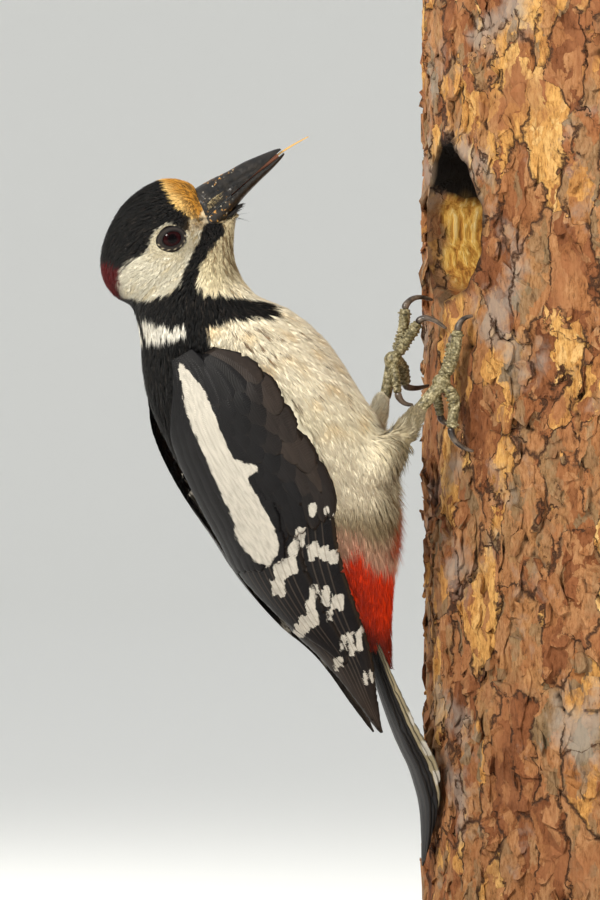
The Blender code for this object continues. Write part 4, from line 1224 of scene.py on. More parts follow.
class Plume:
    """Vanes gathered for one piece."""

    def __init__(self):
        self.vanes, self.count = [], 0

    def add(self, made, colour, edge=None, tip=None, slide=0.0):
        """Add a vane. Its rim and its tip may take other colours; slide moves its white along it."""
        points, faces, facts = made
        colours = np.tile(colour, (len(points), 1))
        if tip is not None:
            colours = lay(colours, tip, 0.8 * ease(0.70, 0.98, facts[:, 2]))
        if edge is not None:
            colours = lay(colours, edge, 0.9 * ease(0.9, 0.3, facts[:, 3]))
        self.vanes.append((points, faces + self.count, facts, colours, np.full(len(points), slide)))
        self.count += len(points)

    def piece(self, name, mirror, white, rim_shade, slot, *nodes, shafts=True):
        """Build the piece, its vanes' colours and its map, where each vane has its own cell."""
        points, faces, facts, colours, slides = (np.concatenate(rows) for rows in zip(*self.vanes))
        cells = math.ceil(math.sqrt(len(self.vanes)))
        own = np.repeat(np.arange(len(self.vanes)), [len(made[0]) for made in self.vanes])
        where = np.stack([own % cells, own // cells], axis=1) / cells + (0.06 + 0.88 * facts[:, 1:3]) / cells
        shown = points * np.array([1.0, -1.0 if mirror else 1.0, 1.0])
        mesh = new_mesh(name, posed(shown), faces[:, ::-1] if mirror else faces)
        paint(mesh, np.clip(colours * (1.0 + 0.10 * noise(points, 7, 21))[:, None], 0.0, 1.0))
        shifted = points + slides[:, None] * np.array([WING_LINE[0], 0.0, WING_LINE[1]])
        # White stays off each vane's rim by this width, leaving a dark line: painted shadow where vanes
        # overlap.
        number(mesh, "White", np.minimum(white(shifted), facts[:, 3] - rim_shade))
        number(mesh, "Barb", facts[:, 0])
        number(mesh, "Cross", 2.0 * facts[:, 1] - 1.0 if shafts else np.ones(len(facts)))
        number(mesh, "Rim", facts[:, 3])
        map_to(mesh, where)
        return finish_piece(name, mesh, [VANE], slot, *nodes)


# White spots on the flight feathers and coverts: middle (s, t), length, width and turn.
SPOTS = (
    (57, 2.2, 4, 2.3, -20), (59.2, 5.9, 2.8, 1.6, -15), (62.4, 7.4, 3.4, 0.9, -8),
    (63.4, -3.8, 6.2, 3.4, -22), (66, -6.4, 3.6, 3, -10), (70.4, -8.9, 5.6, 4.4, -10),
    (70.6, -11.7, 5.4, 2.6, -8), (69.2, -1.2, 5.2, 3.4, -14), (71.2, 1.6, 4.6, 3, -18),
    (73.4, 4, 4.4, 3.4, -24), (75, -13, 6, 3, -6),
    (80.8, -4.9, 4.6, 2.6, -12), (84.6, -7, 4.4, 2.6, -14), (88.6, -7.4, 4.8, 3, -8),
    (89, -9.7, 5.4, 2.6, -6), (91.4, -11, 5, 2, -6), (84, -2.2, 5.6, 2.8, -16),
    (87.2, 0.6, 5.4, 3.6, -20), (89.9, -3.3, 3.8, 1.8, -10), (84.6, 6.4, 6, 2, -10),
    (99.8, -1.9, 5, 1.7, -12), (101, 0.2, 7.4, 1.8, -10), (101.2, 2.8, 7.2, 2.1, -16),
    (98.4, 5.3, 4.4, 1.2, -12), (105.3, -4.4, 3.8, 1.7, -6),
    (113, 0.6, 4, 1.2, -8), (114, 2.8, 4.4, 1.2, -8),
)


def spot_distance(points):
    """Millimetres inside the white spots, negative outside them."""
    chart = wing_frame(points)
    best = np.full(len(points), -9.0)
    for s, t, long, wide, turn in SPOTS:
        c, k = math.cos(math.radians(turn)), math.sin(math.radians(turn))
        ds, dt = chart[:, 0] - s, chart[:, 1] - t
        q = np.stack(
            [abs(ds * c + dt * k) - 0.5 * long + 0.5, abs(dt * c - ds * k) - 0.5 * wide + 0.5], axis=1,
        )
        out = np.linalg.norm(np.maximum(q, 0.0), axis=1) + np.minimum(q.max(axis=1), 0.0) - 0.5
        best = np.maximum(best, -out)
    return best + 0.22 * noise(points, 1.7, 31)


def shoulder_distance(points):
    return inside(wing_frame(points), SHOULDER_PATCH) + 0.2 * noise(points, 2, 33)


VANE_BLACK, VANE_BROWN, VANE_EDGE = linear("0c0b0d"), linear("302721"), linear("2f2924")
VANE_BUFF = linear("453c31")


def wing_white(points):
    """Millimetres inside any white of the wing: the shoulder patch and the bars of spots."""
    return np.maximum(spot_distance(points), shoulder_distance(points))


def left_white(points):
    """The left wing's white, kept off its inner margin, which shows over the back."""
    return np.minimum(wing_white(points), wing_frame(points)[:, 1] + 13.5)


def flight_feathers(hand):
    """Primaries, secondaries and tertials of one wing, outermost first, so that inner ones lie over them."""
    rng = np.random.default_rng(SEED + 40)
    plume = Plume()
    tuck = 0.78 if hand == "left" else 1.0  # the left wing's tip lies under the right wing's
    for n in range(9):  # primaries, from the front edge in
        share = n / 8.0
        tip_s = (124.0, 129.5, 131.5, 130.0, 126.5, 122.5, 118.0, 113.5, 109.5)[n]
        plume.add(vane(
            WING_SKIN, "flight", (44.0, 0.10 + 0.42 * share), (tip_s, (0.10 + 0.74 * share) * tuck), 4.6,
            -1.15 + 0.11 * n, 0.24, 110, rng,
        ), VANE_BLACK, VANE_EDGE if n else VANE_BUFF, VANE_BROWN, rng.uniform(-0.7, 0.7))
    for n in range(9):  # secondaries and tertials
        share = n / 8.0
        tip_s = (107.0, 104.5, 101.5, 98.5, 95.5, 92.0, 88.0, 82.0, 76.0)[n]
        plume.add(vane(
            WING_SKIN, "flight", (40.0, 0.40 + 0.50 * share), (tip_s, 0.46 + 0.50 * share), 4.4,
            -0.15 + 0.06 * n, 0.22, 80, rng,
        ), VANE_BLACK, VANE_EDGE, None, rng.uniform(-0.7, 0.7))
    return plume.piece(
        f"flight_feathers_{hand}", hand == "left", wing_white, 0.10, "black_plumage", f"wing_{hand}",
    )


def coverts(hand):
    """Coverts in rows, each row over the one below: long ones, then broad round ones up to the bend."""
    rng = np.random.default_rng(SEED + 50)
    plume = Plume()
    rows = [(34.0, 63.0, 0.0, 0.68, 9, 3.9, 0.16, "covert"), (28.0, 54.0, 0.0, 0.66, 8, 4.1, 0.34, "covert")]
    rows += [(32.0 - 5.1 * k, 47.0 - 5.1 * k, 0.03, 0.66, 5, 5.4, 0.52 + 0.13 * k, "scale") for k in range(7)]
    for row, (start, end, first, last, number_of, half, height, kind) in enumerate(rows):
        for n in range(number_of):
            p = first + (last - first) * (n + 0.5 * (row % 2)) / (number_of - 0.5) + 0.01 * rng.normal()
            slide = rng.uniform(-0.6, 0.6) - 4.0 * (p - 0.34) ** 2
            wide = half * (1.0 - 0.25 * ease(0.2, 0, p))
            brown = ease(0.22, 0.02, p + 0.03 * rng.normal()) * (0.9 if row > 0 else 0.4)
            plume.add(vane(
                WING_SKIN, kind, (start + slide, p), (end + slide, p + 0.015), wide, height + 0.04 * n, 0.20,
                18, rng, camber=0.45,
            ), (VANE_BLACK + (VANE_BROWN - VANE_BLACK) * brown) * rng.uniform(0.85, 1.2), VANE_EDGE)
    return plume.piece(
        f"wing_coverts_{hand}", hand == "left", wing_white, 0.05, "black_plumage", shafts=False,
    )


def scapulars(hand):
    """The shoulder feathers, with the long white patch, which lie over the wing's back edge."""
    rng = np.random.default_rng(SEED + 60)
    plume = Plume()
    low = 0.7 if hand == "left" else 0.0  # the left wing keeps closer to the back, which hides most of it
    for row in range(15):
        end = 69.0 - 4.8 * row
        for n in range(7):
            p = (0.50 + 0.08 * n + 0.01 * rng.normal()) * (0.84 if hand == "left" else 1.0)
            root = (end - 15.0 + rng.uniform(-0.8, 0.8), p)
            tip = (end + rng.uniform(-0.8, 0.8), p + 0.01)
            height = 0.95 + 0.03 * row + 0.03 * n - low * (1.0 + 0.14 * max(row - 7, 0))
            plume.add(vane(
                WING_SKIN, "covert", root, tip, 3.4, height, 0.16, 24, rng, camber=0.45,
            ), VANE_BLACK * rng.uniform(0.8, 1.2), None, None, rng.uniform(-0.6, 0.6))
    white = left_white if hand == "left" else wing_white
    return plume.piece(
        f"shoulder_feathers_{hand}", hand == "left", white, -0.3, "black_plumage", shafts=False,
    )


def tail_feathers():
    """Ten stiff tail feathers: the outer pairs lie underneath, shorter and edged with buff."""
    rng = np.random.default_rng(SEED + 70)
    plume = Plume()
    total = TAIL_SKIN.s[-1]
    for n in range(5):
        pair = 4 - n
        for side in (-1.0, 1.0):
            q = side * (0.12 + 0.215 * pair)
            tip_q = side * (0.20 + 0.18 * pair)
            tip = total * (1.0, 0.95, 0.87, 0.78, 0.68)[pair]
            pale = linear("9a8d70") if pair > 2 else VANE_BLACK * 1.5
            plume.add(vane(
                TAIL_SKIN, "flight", (2.0, 0.5 * q), (tip, tip_q), 3.4,
                0.9 - 0.38 * pair, -0.10 * side, 40, rng, camber=0.25, bow=side * 0.1,
            ), pale, VANE_EDGE)
    return plume.piece("tail_feathers", False, tail_white, 0.05, "black_plumage", "tail")


def tail_white(points):
    """Buff bars at the tail's outer edges."""
    edge = abs(points[:, 1]) - 9.4
    bars = np.sin(points[:, 2] * 2.0 * math.pi / 9.0) * 1.2
    return np.minimum(edge, bars)


WING_SKIN, TAIL_SKIN = wing_surface(), tail_surface()
for hand in ("right", "left"):
    flight_feathers(hand)
    coverts(hand)
    scapulars(hand)
tail_feathers()


# Bill, tongue and eyes.

# Bill sections: along, ridge of the upper half, the two cutting edges, keel of the lower half,
# half width at the cutting edge.
BILL = (
    (-6, 7.6, -0.85, -1.15, -6.6, 6.2), (-1, 7.4, -0.75, -1.05, -5.9, 5.9),
    (3, 6.9, -0.62, -0.96, -5.1, 5.2), (6.5, 6.2, -0.50, -0.85, -4.3, 4.4),
    (10, 5.4, -0.35, -0.70, -3.6, 3.7), (15.3, 4.6, -0.10, -0.50, -2.9, 2.9),
    (20.5, 3.2, 0.25, -0.70, -2.4, 2.1), (24.8, 1.9, 0.48, -0.75, -1.75, 1.3),
    (26.6, 1.1, 0.50, -0.72, -1.25, 0.8)
)
BILL_SIDES = 40
NOSTRIL = (5.9, 1.2)


def loft(rings):
    """Faces over rings of equal length, with a fan on each end."""
    count = len(rings[0])
    points = [p for ring in rings for p in ring]
    faces = grid_faces(np.arange(len(points)).reshape(-1, count), wrap=True).tolist()
    for first, back in ((0, True), ((len(rings) - 1) * count, False)):
        points.append(np.mean(points[first:first + count], axis=0))
        for i in range(count):
            face = (first + i, first + (i + 1) % count, len(points) - 1)
            faces.append(face[::-1] if back else face)
    return np.array(points, float), faces


def head_mesh(points, faces):
    """A closed mesh from places in the head's frame, its faces turned outwards."""
    mesh = new_mesh("head piece", posed(from_head(points)), faces)
    made = bmesh.new()
    made.from_mesh(mesh)
    bmesh.ops.recalc_face_normals(made, faces=made.faces)
    made.to_mesh(mesh)
    made.free()
    return mesh


def bill_half(upper):
    """One half of the bill: an edged ridge, a groove forward from the nostril, sharp cutting edges."""
    rings = []
    for along, top, edge_up, edge_low, bottom, half in curve(BILL, 14):
        edge, far = (edge_up, top) if upper else (edge_low, bottom)
        ring = []
        for i in range(BILL_SIDES + 1):
            a = math.pi * i / BILL_SIDES
            side = half * math.cos(a)
            rise = math.sin(a) ** (1.30 if upper else 1.1)
            up = edge + (far - edge) * rise
            sink = 0.0
            if upper:
                # The groove runs forward and down from above the nostril, which is a small pit.
                line = NOSTRIL[1] + 1.3 - 0.16 * (along - NOSTRIL[0])
                sink += 0.42 * math.exp(-((up - line) / 0.32) ** 2) * min(1.0, max(0.0, (19.0 - along) / 6.0))
                pit = ((along - NOSTRIL[0]) / 1.25) ** 2 + ((up - NOSTRIL[1]) / 0.42) ** 2
                sink += 0.9 * math.exp(-pit)
            ring.append((along, side * (1.0 - sink / half), up))
        for i in range(1, 6):
            share = i / 6.0
            hollow = 0.25 * math.sin(math.pi * share) * (1.0 if upper else -1.0) * max(half - 1.0, 0.0) / 4.0
            ring.append((along, half * (2.0 * share - 1.0), edge + hollow))
        rings.append(ring)
    points, faces = loft(rings)
    points[:, 1] += 0.04 * noise(points, 2.2, 71)
    mesh = head_mesh(points, faces)
    ridge = ease(3.4, 6, points[:, 2]) * ease(0.5, 3, points[:, 0]) * ease(17, 9, points[:, 0]) * 0.7
    gape = ease(4, -4, points[:, 0]) * 0.42
    number(mesh, "Dirt", np.maximum(ridge, gape) if upper else ease(8, -3, points[:, 0]) * 0.55)
    return mesh


for name, upper in (("bill_upper_horn", True), ("bill_lower_horn", False)):
    finish_piece(name, bill_half(upper), [BILL_HORN], "bill_horn", "bill_upper" if upper else "bill_lower")


def mouth_lining():
    """The palate and the floor of the mouth, which close the gape between the cutting edges."""
    rings = []
    for along, _, edge_up, edge_low, _, half in curve(BILL[3:8], 6):
        middle, high = 0.5 * (edge_up + edge_low), 0.5 * (edge_up - edge_low) + 0.35
        rings.append([(along, 0.55 * half * math.cos(t), middle + high * math.sin(t)) for t in full_turn(16)])
    return head_mesh(*loft(rings))


def ball(radius, sides, bands):
    """A ball round the origin with its poles along Y."""
    rings = []
    for k in range(1, bands):
        lift = math.pi * k / bands
        a, wide = full_turn(sides), radius * math.sin(lift)
        rings.append(
            np.stack([wide * np.cos(a), np.full(sides, radius * math.cos(lift)), wide * np.sin(a)], axis=1)
        )
    points, faces = loft(rings)
    for index, y in ((len(points) - 2, radius), (len(points) - 1, -radius)):
        points[index] = (0.0, y, 0.0)
    return points, faces


EYE, eye_add, eye_surface = shader("glass eye", IOR=1.45, Roughness=0.05, Specular_IOR_Level=0.10)
plug(eye_surface, "Base Color", eye_add("Attribute", attribute_name="Colour"))
for hand, sign in (("right", -1.0), ("left", 1.0)):
    points, faces = ball(EYE_RADIUS, 48, 40)
    off_axis = np.hypot(points[:, 0], points[:, 2])
    colours = lay(np.tile(linear("040203"), (len(points), 1)), linear("1e0506"), ease(1.1, 1.9, off_axis))
    colours = lay(colours, "0c0304", ease(2.5, 3.2, off_axis))
    mesh = head_mesh(points + np.array([EYE_ALONG, sign * EYE_OUT, EYE_UP]), faces)
    paint(mesh, colours)
    finish_piece(f"eye_ball_{hand}", mesh, [EYE], "eye", f"eye_{hand}")


def round_rod(path, sides):
    """A closed round rod through (x, y, z, radius) rows."""
    path = np.asarray(path, float)
    ahead = unit(np.gradient(path[:, :3], axis=0))
    across = unit(np.cross(ahead, np.array([0.0, 1.0, 0.13])))
    over = np.cross(ahead, across)
    a = full_turn(sides)
    rings = [
        p[:3] + p[3] * (np.cos(a)[:, None] * across[k] + np.sin(a)[:, None] * over[k]) for k,
        p in enumerate(path)
    ]
    return loft(rings)


LINING, _, _ = shader("mouth lining", IOR=1.4, Roughness=0.45, Base_Color=rgb("855642"))
finish_piece("mouth_lining", mouth_lining(), [LINING], "tongue")
TONGUE, _, _ = shader("wet flesh", IOR=1.4, Roughness=0.3, Base_Color=rgb("c69a58"), Subsurface_Weight=0.1)
# The tongue's way out of the bill: along, side, up, radius.
TONGUE_PATH = ((21.8, 0, -0.1, 0.27), (26, 0, -0.12, 0.29), (31, 0, -0.7, 0.27), (35.6, 0, -1.5, 0.16))
finish_piece("tongue_tip", head_mesh(*round_rod(curve(TONGUE_PATH, 5), 10)), [TONGUE], "tongue", "tongue")


def node_tree(name, *sizes):
    """A tree that takes a geometry, sizes, a seed and a material: what adds its nodes, and its inputs."""
    tree = bpy.data.node_groups.new(name, "GeometryNodeTree")
    inputs = [
        ("Geometry", "Geometry"), *((size, "Float") for size in sizes), ("Seed", "Int"),
        ("Material", "Material")
    ]
    for socket, kind in inputs:
        tree.interface.new_socket(socket, in_out="INPUT", socket_type="NodeSocket" + kind)
    tree.interface.new_socket("Geometry", in_out="OUTPUT", socket_type="NodeSocketGeometry")
    add = partial(add_node, tree)
    return add, add("NodeGroupInput").outputs


def finish_tree(add, placed, material, smooth=True, shift=None):
    """End a tree: its instances made real, perhaps shifted, in one material."""
    made = add("GeometryNodeRealizeInstances", {"Geometry": placed})
    if shift:
        made = add("GeometryNodeSetPosition", {"Geometry": made, "Offset": shift})
    made = add("GeometryNodeSetShadeSmooth", {"Geometry": made, "Shade Smooth": smooth})
    made = add("GeometryNodeSetMaterial", {"Geometry": made, "Material": material})
    return add("NodeGroupOutput", {"Geometry": made}).id_data


def scattered(add, given, density):
    """Points on the tree's geometry, its Spacing apart or more."""
    inputs = {"Mesh": given["Geometry"], "Distance Min": given["Spacing"], "Density Max": density}
    inputs["Seed"] = given["Seed"]
    return add("GeometryNodeDistributePointsOnFaces", inputs, distribute_method="POISSON")


def random_vector(add, low, high, seed):
    return add("FunctionNodeRandomValue", {"Min": low, "Max": high, "Seed": seed}, data_type="FLOAT_VECTOR")


def jittered(add, turn, most, seed):
    """A rotation with random turns of up to this much about its own axes."""
    lean = random_vector(add, [-angle for angle in most], most, seed)
    euler = add("FunctionNodeEulerToRotation", {"Euler": lean})
    return add("FunctionNodeRotateRotation", {"Rotation": turn, "Rotate By": euler}, rotation_space="LOCAL")


def copies_on(add, points, shape, turn, sizes, low, high, seed):
    """Copies of a shape on points, as large as the sizes times random shares from low to high."""
    size = add("CombineXYZ", dict(zip("XYZ", sizes)))
    scale = add("VectorMath", {0: random_vector(add, low, high, seed), 1: size}, operation="MULTIPLY")
    inputs = {"Points": points, "Instance": shape, "Rotation": turn, "Scale": scale}
    return add("GeometryNodeInstanceOnPoints", inputs)


def bristle_tree():
    """Geometry Nodes: fine tapered bristles that lean along the surface's own Way."""
    add, given = node_tree("bristles", "Spacing", "Length", "Radius", "Spread")
    spread = scattered(add, given, 5.0e7)
    way = add("GeometryNodeInputNamedAttribute", {"Name": "Way"}, data_type="FLOAT_VECTOR")
    low, high = (
        add("VectorMath", {0: (end, end, end), "Scale": given["Spread"]}, operation="SCALE")
        for end in (-1.0, 1.0)
    )
    stray = random_vector(add, low, high, given["Seed"])
    leaning = add("VectorMath", {0: way, 1: stray}, operation="ADD")
    aimed = add("FunctionNodeAlignRotationToVector", {"Vector": leaning}, axis="Z")
    bristle = add(
        "GeometryNodeMeshCone",
        {"Vertices": 5, "Side Segments": 3, "Radius Top": 0.08, "Radius Bottom": 1.0, "Depth": 1.0},
    )
    sizes = (given["Radius"], given["Radius"], given["Length"])
    placed = copies_on(add, spread, bristle, aimed, sizes, (0.8, 0.8, 0.55), (1.2, 1.2, 1.25), 5)
    return finish_tree(add, placed, given["Material"])


def bristle_patch(rows, way, name, tree, length, radius, spacing, spread, material, slot):
    """Bristles from a strip between two rows of head-frame places, on both sides, pointing one way."""
    both = []
    for sign in (-1.0, 1.0):
        mirrored = np.array([1.0, -sign, 1.0])
        grid = np.array(rows, float) * mirrored
        flat = grid.reshape(-1, 3)
        base = new_mesh(
            "patch", posed(from_head(flat)), grid_faces(np.arange(len(flat)).reshape(grid.shape[:2])),
        )
        ways = posed(from_head(flat + np.array(way) * mirrored)) - posed(from_head(flat))
        base.attributes.new("Way", "FLOAT_VECTOR", "POINT").data.foreach_set(
            "vector", ways.astype(np.float32).ravel(),
        )
        both.append(run_nodes(tree, new_object("patch", base), {
            "Spacing": spacing * MM, "Length": length * MM, "Radius": radius * MM, "Spread": spread,
            "Seed": SEED, "Material": material,
        }))
    finish_piece(name, joined(name, both), [material], slot)


BRISTLES = bristle_tree()
OLIVE_BRISTLE, olive_add, olive_surface = shader("nasal bristles", IOR=1.55, Roughness=0.6)
olive_place = olive_add("TexCoord").outputs["Object"]
olive_noise = olive_add("TexNoise", {"Vector": olive_place, "Scale": 1400.0, "Detail": 3.0})
olive_stops = ((0.40, "3a2f20"), (0.52, "7d6c48"), (0.62, "b5a682"))
plug(olive_surface, "Base Color", olive_add("ValToRGB", {"Fac": olive_noise}, olive_stops))
BLACK_BRISTLE, _, _ = shader("chin bristles", IOR=1.55, Roughness=0.45, Base_Color=rgb("1a1613"))
# Nasal tufts lie forward over the base of the upper half, just above its cutting edge.
bristle_patch(
    (((-2.6, 6.3, 0.2), (-0.8, 6.0, 0.3), (1.0, 5.6, 0.4), (2.2, 5.2, 0.5)),
     ((-2.0, 6.0, 1.9), (-0.2, 5.7, 2.1), (1.4, 5.3, 2.1), (2.8, 4.9, 2.0))),
    (1.0, -0.10, 0.02), "nasal_tufts", BRISTLES, 2.0, 0.08, 0.27, 0.22, OLIVE_BRISTLE, "cream_plumage",
)
# Black bristles on the chin's point and a few longer ones under it.
bristle_patch(
    (((1.0, 3.2, -4.9), (3.6, 2.6, -4.7), (6.0, 1.6, -4.4)),
     ((1.2, 0.0, -6.0), (3.8, 0.0, -5.6), (6.2, 0.0, -5.0))),
    (0.95, 0.05, -0.22), "chin_bristles", BRISTLES, 2.3, 0.11, 0.24, 0.16, BLACK_BRISTLE, "black_plumage",
)
bristle_patch(
    (((1.0, 2.2, -6.3), (3.6, 2.0, -6.2)), ((1.2, 0.0, -6.9), (3.8, 0.0, -6.8))),
    (0.8, 0.1, -0.75), "chin_long_bristles", BRISTLES, 4.6, 0.05, 1.1, 0.30, BLACK_BRISTLE, "black_plumage",
)


# Feet: each shank and its toes are one smooth skin under rings of scutes; claws stay separate.


def scute_tree():
    """Geometry Nodes: overlapping rings of horny plates along a path, each as wide as the path's Girth."""
    add, given = node_tree("scutes", "Spacing", "Swell")
    path = add("GeometryNodeMeshToCurve", {"Mesh": given["Geometry"]})
    steps = add("GeometryNodeCurveToPoints", {"Curve": path, "Length": given["Spacing"]}, mode="LENGTH")
    girth = add("GeometryNodeInputNamedAttribute", {"Name": "Girth"}, data_type="FLOAT")
    wide = add("Math", {0: girth, 1: given["Swell"]}, operation="MULTIPLY")
    thick = add("Math", {0: given["Spacing"], 1: 0.54}, operation="MULTIPLY")
    turn = jittered(add, steps.outputs["Rotation"], (0.16, 0.16, 3.0), given["Seed"])
    bead = add("GeometryNodeMeshUVSphere", {"Segments": 18, "Rings": 8, "Radius": 1.0})
    shares = ((0.93, 0.93, 0.8), (1.06, 1.06, 1.15))
    placed = copies_on(add, steps, bead, turn, (wide, wide, thick), *shares, given["Seed"])
    return finish_tree(add, placed, given["Material"])


def middle_line(node, rings):
    """Points along the middle of a rod-like solid, with its girth: means of its slices from end to end."""
    points = points_of(NODES[node].data)
    centre = points.mean(axis=0)
    way = np.linalg.svd(points - centre)[2][0]
    share = (points - centre) @ way
    edges = np.linspace(share.min(), share.max(), rings + 1)
    path, girth = [], []
    for low, high in zip(edges[:-1], edges[1:]):
        held = points[(share >= low - 0.35) & (share <= high + 0.35)]
        if len(held) > 3:
            path.append(held.mean(axis=0))
            girth.append(np.linalg.norm(held - held.mean(axis=0), axis=1).mean())
    return np.array(path), np.minimum(np.array(girth), 2.15)


def scutes(hand, tree, nodes):
    """The scutes along the middle lines of one foot's toes."""
    rings = []
    for node in nodes:
        path, girth = middle_line(node, 6)
        base = bpy.data.meshes.new("path")
        base.from_pydata((path * MM).tolist(), [(k, k + 1) for k in range(len(path) - 1)], [])
        number(base, "Girth", girth * MM)
        rings.append(run_nodes(tree, new_object("path", base), {
            "Spacing": 1.15 * MM, "Swell": 1.24, "Seed": SEED + len(node), "Material": SCALES,
        }))
    finish_piece(f"scutes_{hand}", joined(f"scutes_{hand}", rings), [SCALES], "scaly_skin")


SCUTES = scute_tree()
TOE_NAMES = ("middle", "inner", "outer", "hallux")
for hand in ("right", "left"):
    nodes = (f"shank_{hand}", *(f"toe_{hand}_{toe}" for toe in TOE_NAMES))
    mesh = closed_round(nodes, 0.30, 0.32, 3)
    finish_piece(f"foot_{hand}", mesh, [SCALES], "scaly_skin", *nodes)
    scutes(hand, SCUTES, nodes[1:])
    for toe in TOE_NAMES:
        obj = new_object("claw", solid_copy((f"claw_{hand}_{toe}",), 0.28))
        step = obj.modifiers.new("round", "SUBSURF")
        step.levels = step.render_levels = 2
        finish_piece(
            f"claw_horn_{hand}_{toe}", evaluated(obj), [CLAW_HORN], "claw_horn", f"claw_{hand}_{toe}",
        )


# The perch: a cut length of pine trunk with the nest hole.

LOG_FOOT, LOG_TOP = 32.0, 314.0
HOLE_Y, HOLE_Z, HOLE_WIDE, HOLE_HIGH, HOLE_PINCH = -1.5, 242.0, 23.0, 24.5, 0.35
HOLE_DEPTH, WOOD_ROT = 46.0, 231.0  # how deep the hole goes, and below which height its wood is rotten
# Rows up the bark, then its columns: fine ones on the side with the hole, wider ones behind.
ROWS, FINE_COLUMNS, FINE_START, FINE_SWEEP, WIDE_COLUMNS = 236, 176, 148.0, 92.0, 200


def cells(across, up, wide, high, seed):
    """Cells of a cracked surface: distance to the nearest and next seed, and each cell's own number."""
    rng = np.random.default_rng(SEED + seed)
    around = 2.0 * math.pi * LOG_RADIUS
    nx = max(3, round(around / wide))
    nz = int(400.0 / high) + 4
    jitter = rng.random((nx, nz, 3))
    gx, gz = across / around * nx, up / high + 1.0
    ix, iz = np.floor(gx).astype(int), np.floor(gz).astype(int)
    first, second, own = np.full(len(gx), 9.0), np.full(len(gx), 9.0), np.zeros(len(gx))
    for dx in (-1, 0, 1):
        for dz in (-1, 0, 1):
            cx, cz = ix + dx, np.clip(iz + dz, 0, nz - 1)
            seeds = jitter[cx % nx, cz]
            d = np.hypot(cx + seeds[:, 0] - gx, cz + seeds[:, 1] - gz)
            nearer = d < first
            second = np.where(nearer, first, np.minimum(second, d))
            own = np.where(nearer, seeds[:, 2], own)
            first = np.where(nearer, d, first)
    return first, second, own


def bark_radius(angle, height):
    swell = 0.8 * np.sin(3.0 * angle + height / 47.0) + 0.5 * np.sin(5.0 * angle - height / 31.0)
    return LOG_RADIUS + swell * (1.0 - np.exp(-((np.cos(angle) + 1.0) / 0.08) ** 2))


def bark_relief(angle, height):
    """Millimetres that the bark stands above or below its even surface."""
    around = np.stack([LOG_RADIUS * np.cos(angle), LOG_RADIUS * np.sin(angle), height], axis=1)
    across = angle * LOG_RADIUS + 2.2 * noise(around, 11, 51) + 0.9 * noise(around, 4, 52)
    up = height + 3.4 * noise(around, 14, 53) + 1.2 * noise(around, 4.5, 54)
    a1, a2, plate = cells(across, up, 17.0, 34.0, 55)
    b1, b2, flake = cells(across, up, 8.0, 14.0, 56)
    chip = cells(across, up, 3.6, 5.5, 57)[2]
    relief = 1.4 * (plate - 0.5) + 1.2 * (flake - 0.5) + 0.4 * (chip - 0.5)
    split = ease(0, 0.7, noise(around * np.array([1, 1, 0.5]), 26, 59))
    relief -= (0.2 + 2.2 * split) * np.exp(-(a2 - a1) / 0.05) + 0.35 * np.exp(-(b2 - b1) / 0.08)
    return relief + 0.2 * noise(around, 3, 58) - 0.1


def hole_outline(count):
    a = full_turn(count)
    rough = 1.0 + 0.025 * np.sin(5.0 * a + 1.0) + 0.02 * np.sin(11.0 * a) + 0.012 * np.sin(23.0 * a + 2.0)
    pinch = 1.0 - HOLE_PINCH * np.maximum(np.sin(a), 0.0)
    return np.stack(
        [HOLE_Y + HOLE_WIDE * pinch * rough * np.cos(a), HOLE_Z + HOLE_HIGH * rough * np.sin(a)], axis=1,
    )


def log_grid(angles, heights):
    """An angle and a height for each place of a grid round the log, and the quads between the places."""
    angle, height = (g.ravel() for g in np.meshgrid(angles, heights))
    return angle, height, grid_faces(np.arange(len(angle)).reshape(len(heights), len(angles)), wrap=True)


def on_log(angle, height, radius):
    return np.stack([LOG_X + radius * np.cos(angle), radius * np.sin(angle), height], axis=1)


def drawn_out(made, loop):
    """Extrude a loop of edges. Gives the new outer loop and its new points."""
    grown = bmesh.ops.extrude_edge_only(made, edges=loop)["geom"]
    loop = [g for g in grown if isinstance(g, bmesh.types.BMEdge) and g.is_boundary]
    return loop, [g for g in grown if isinstance(g, bmesh.types.BMVert)]


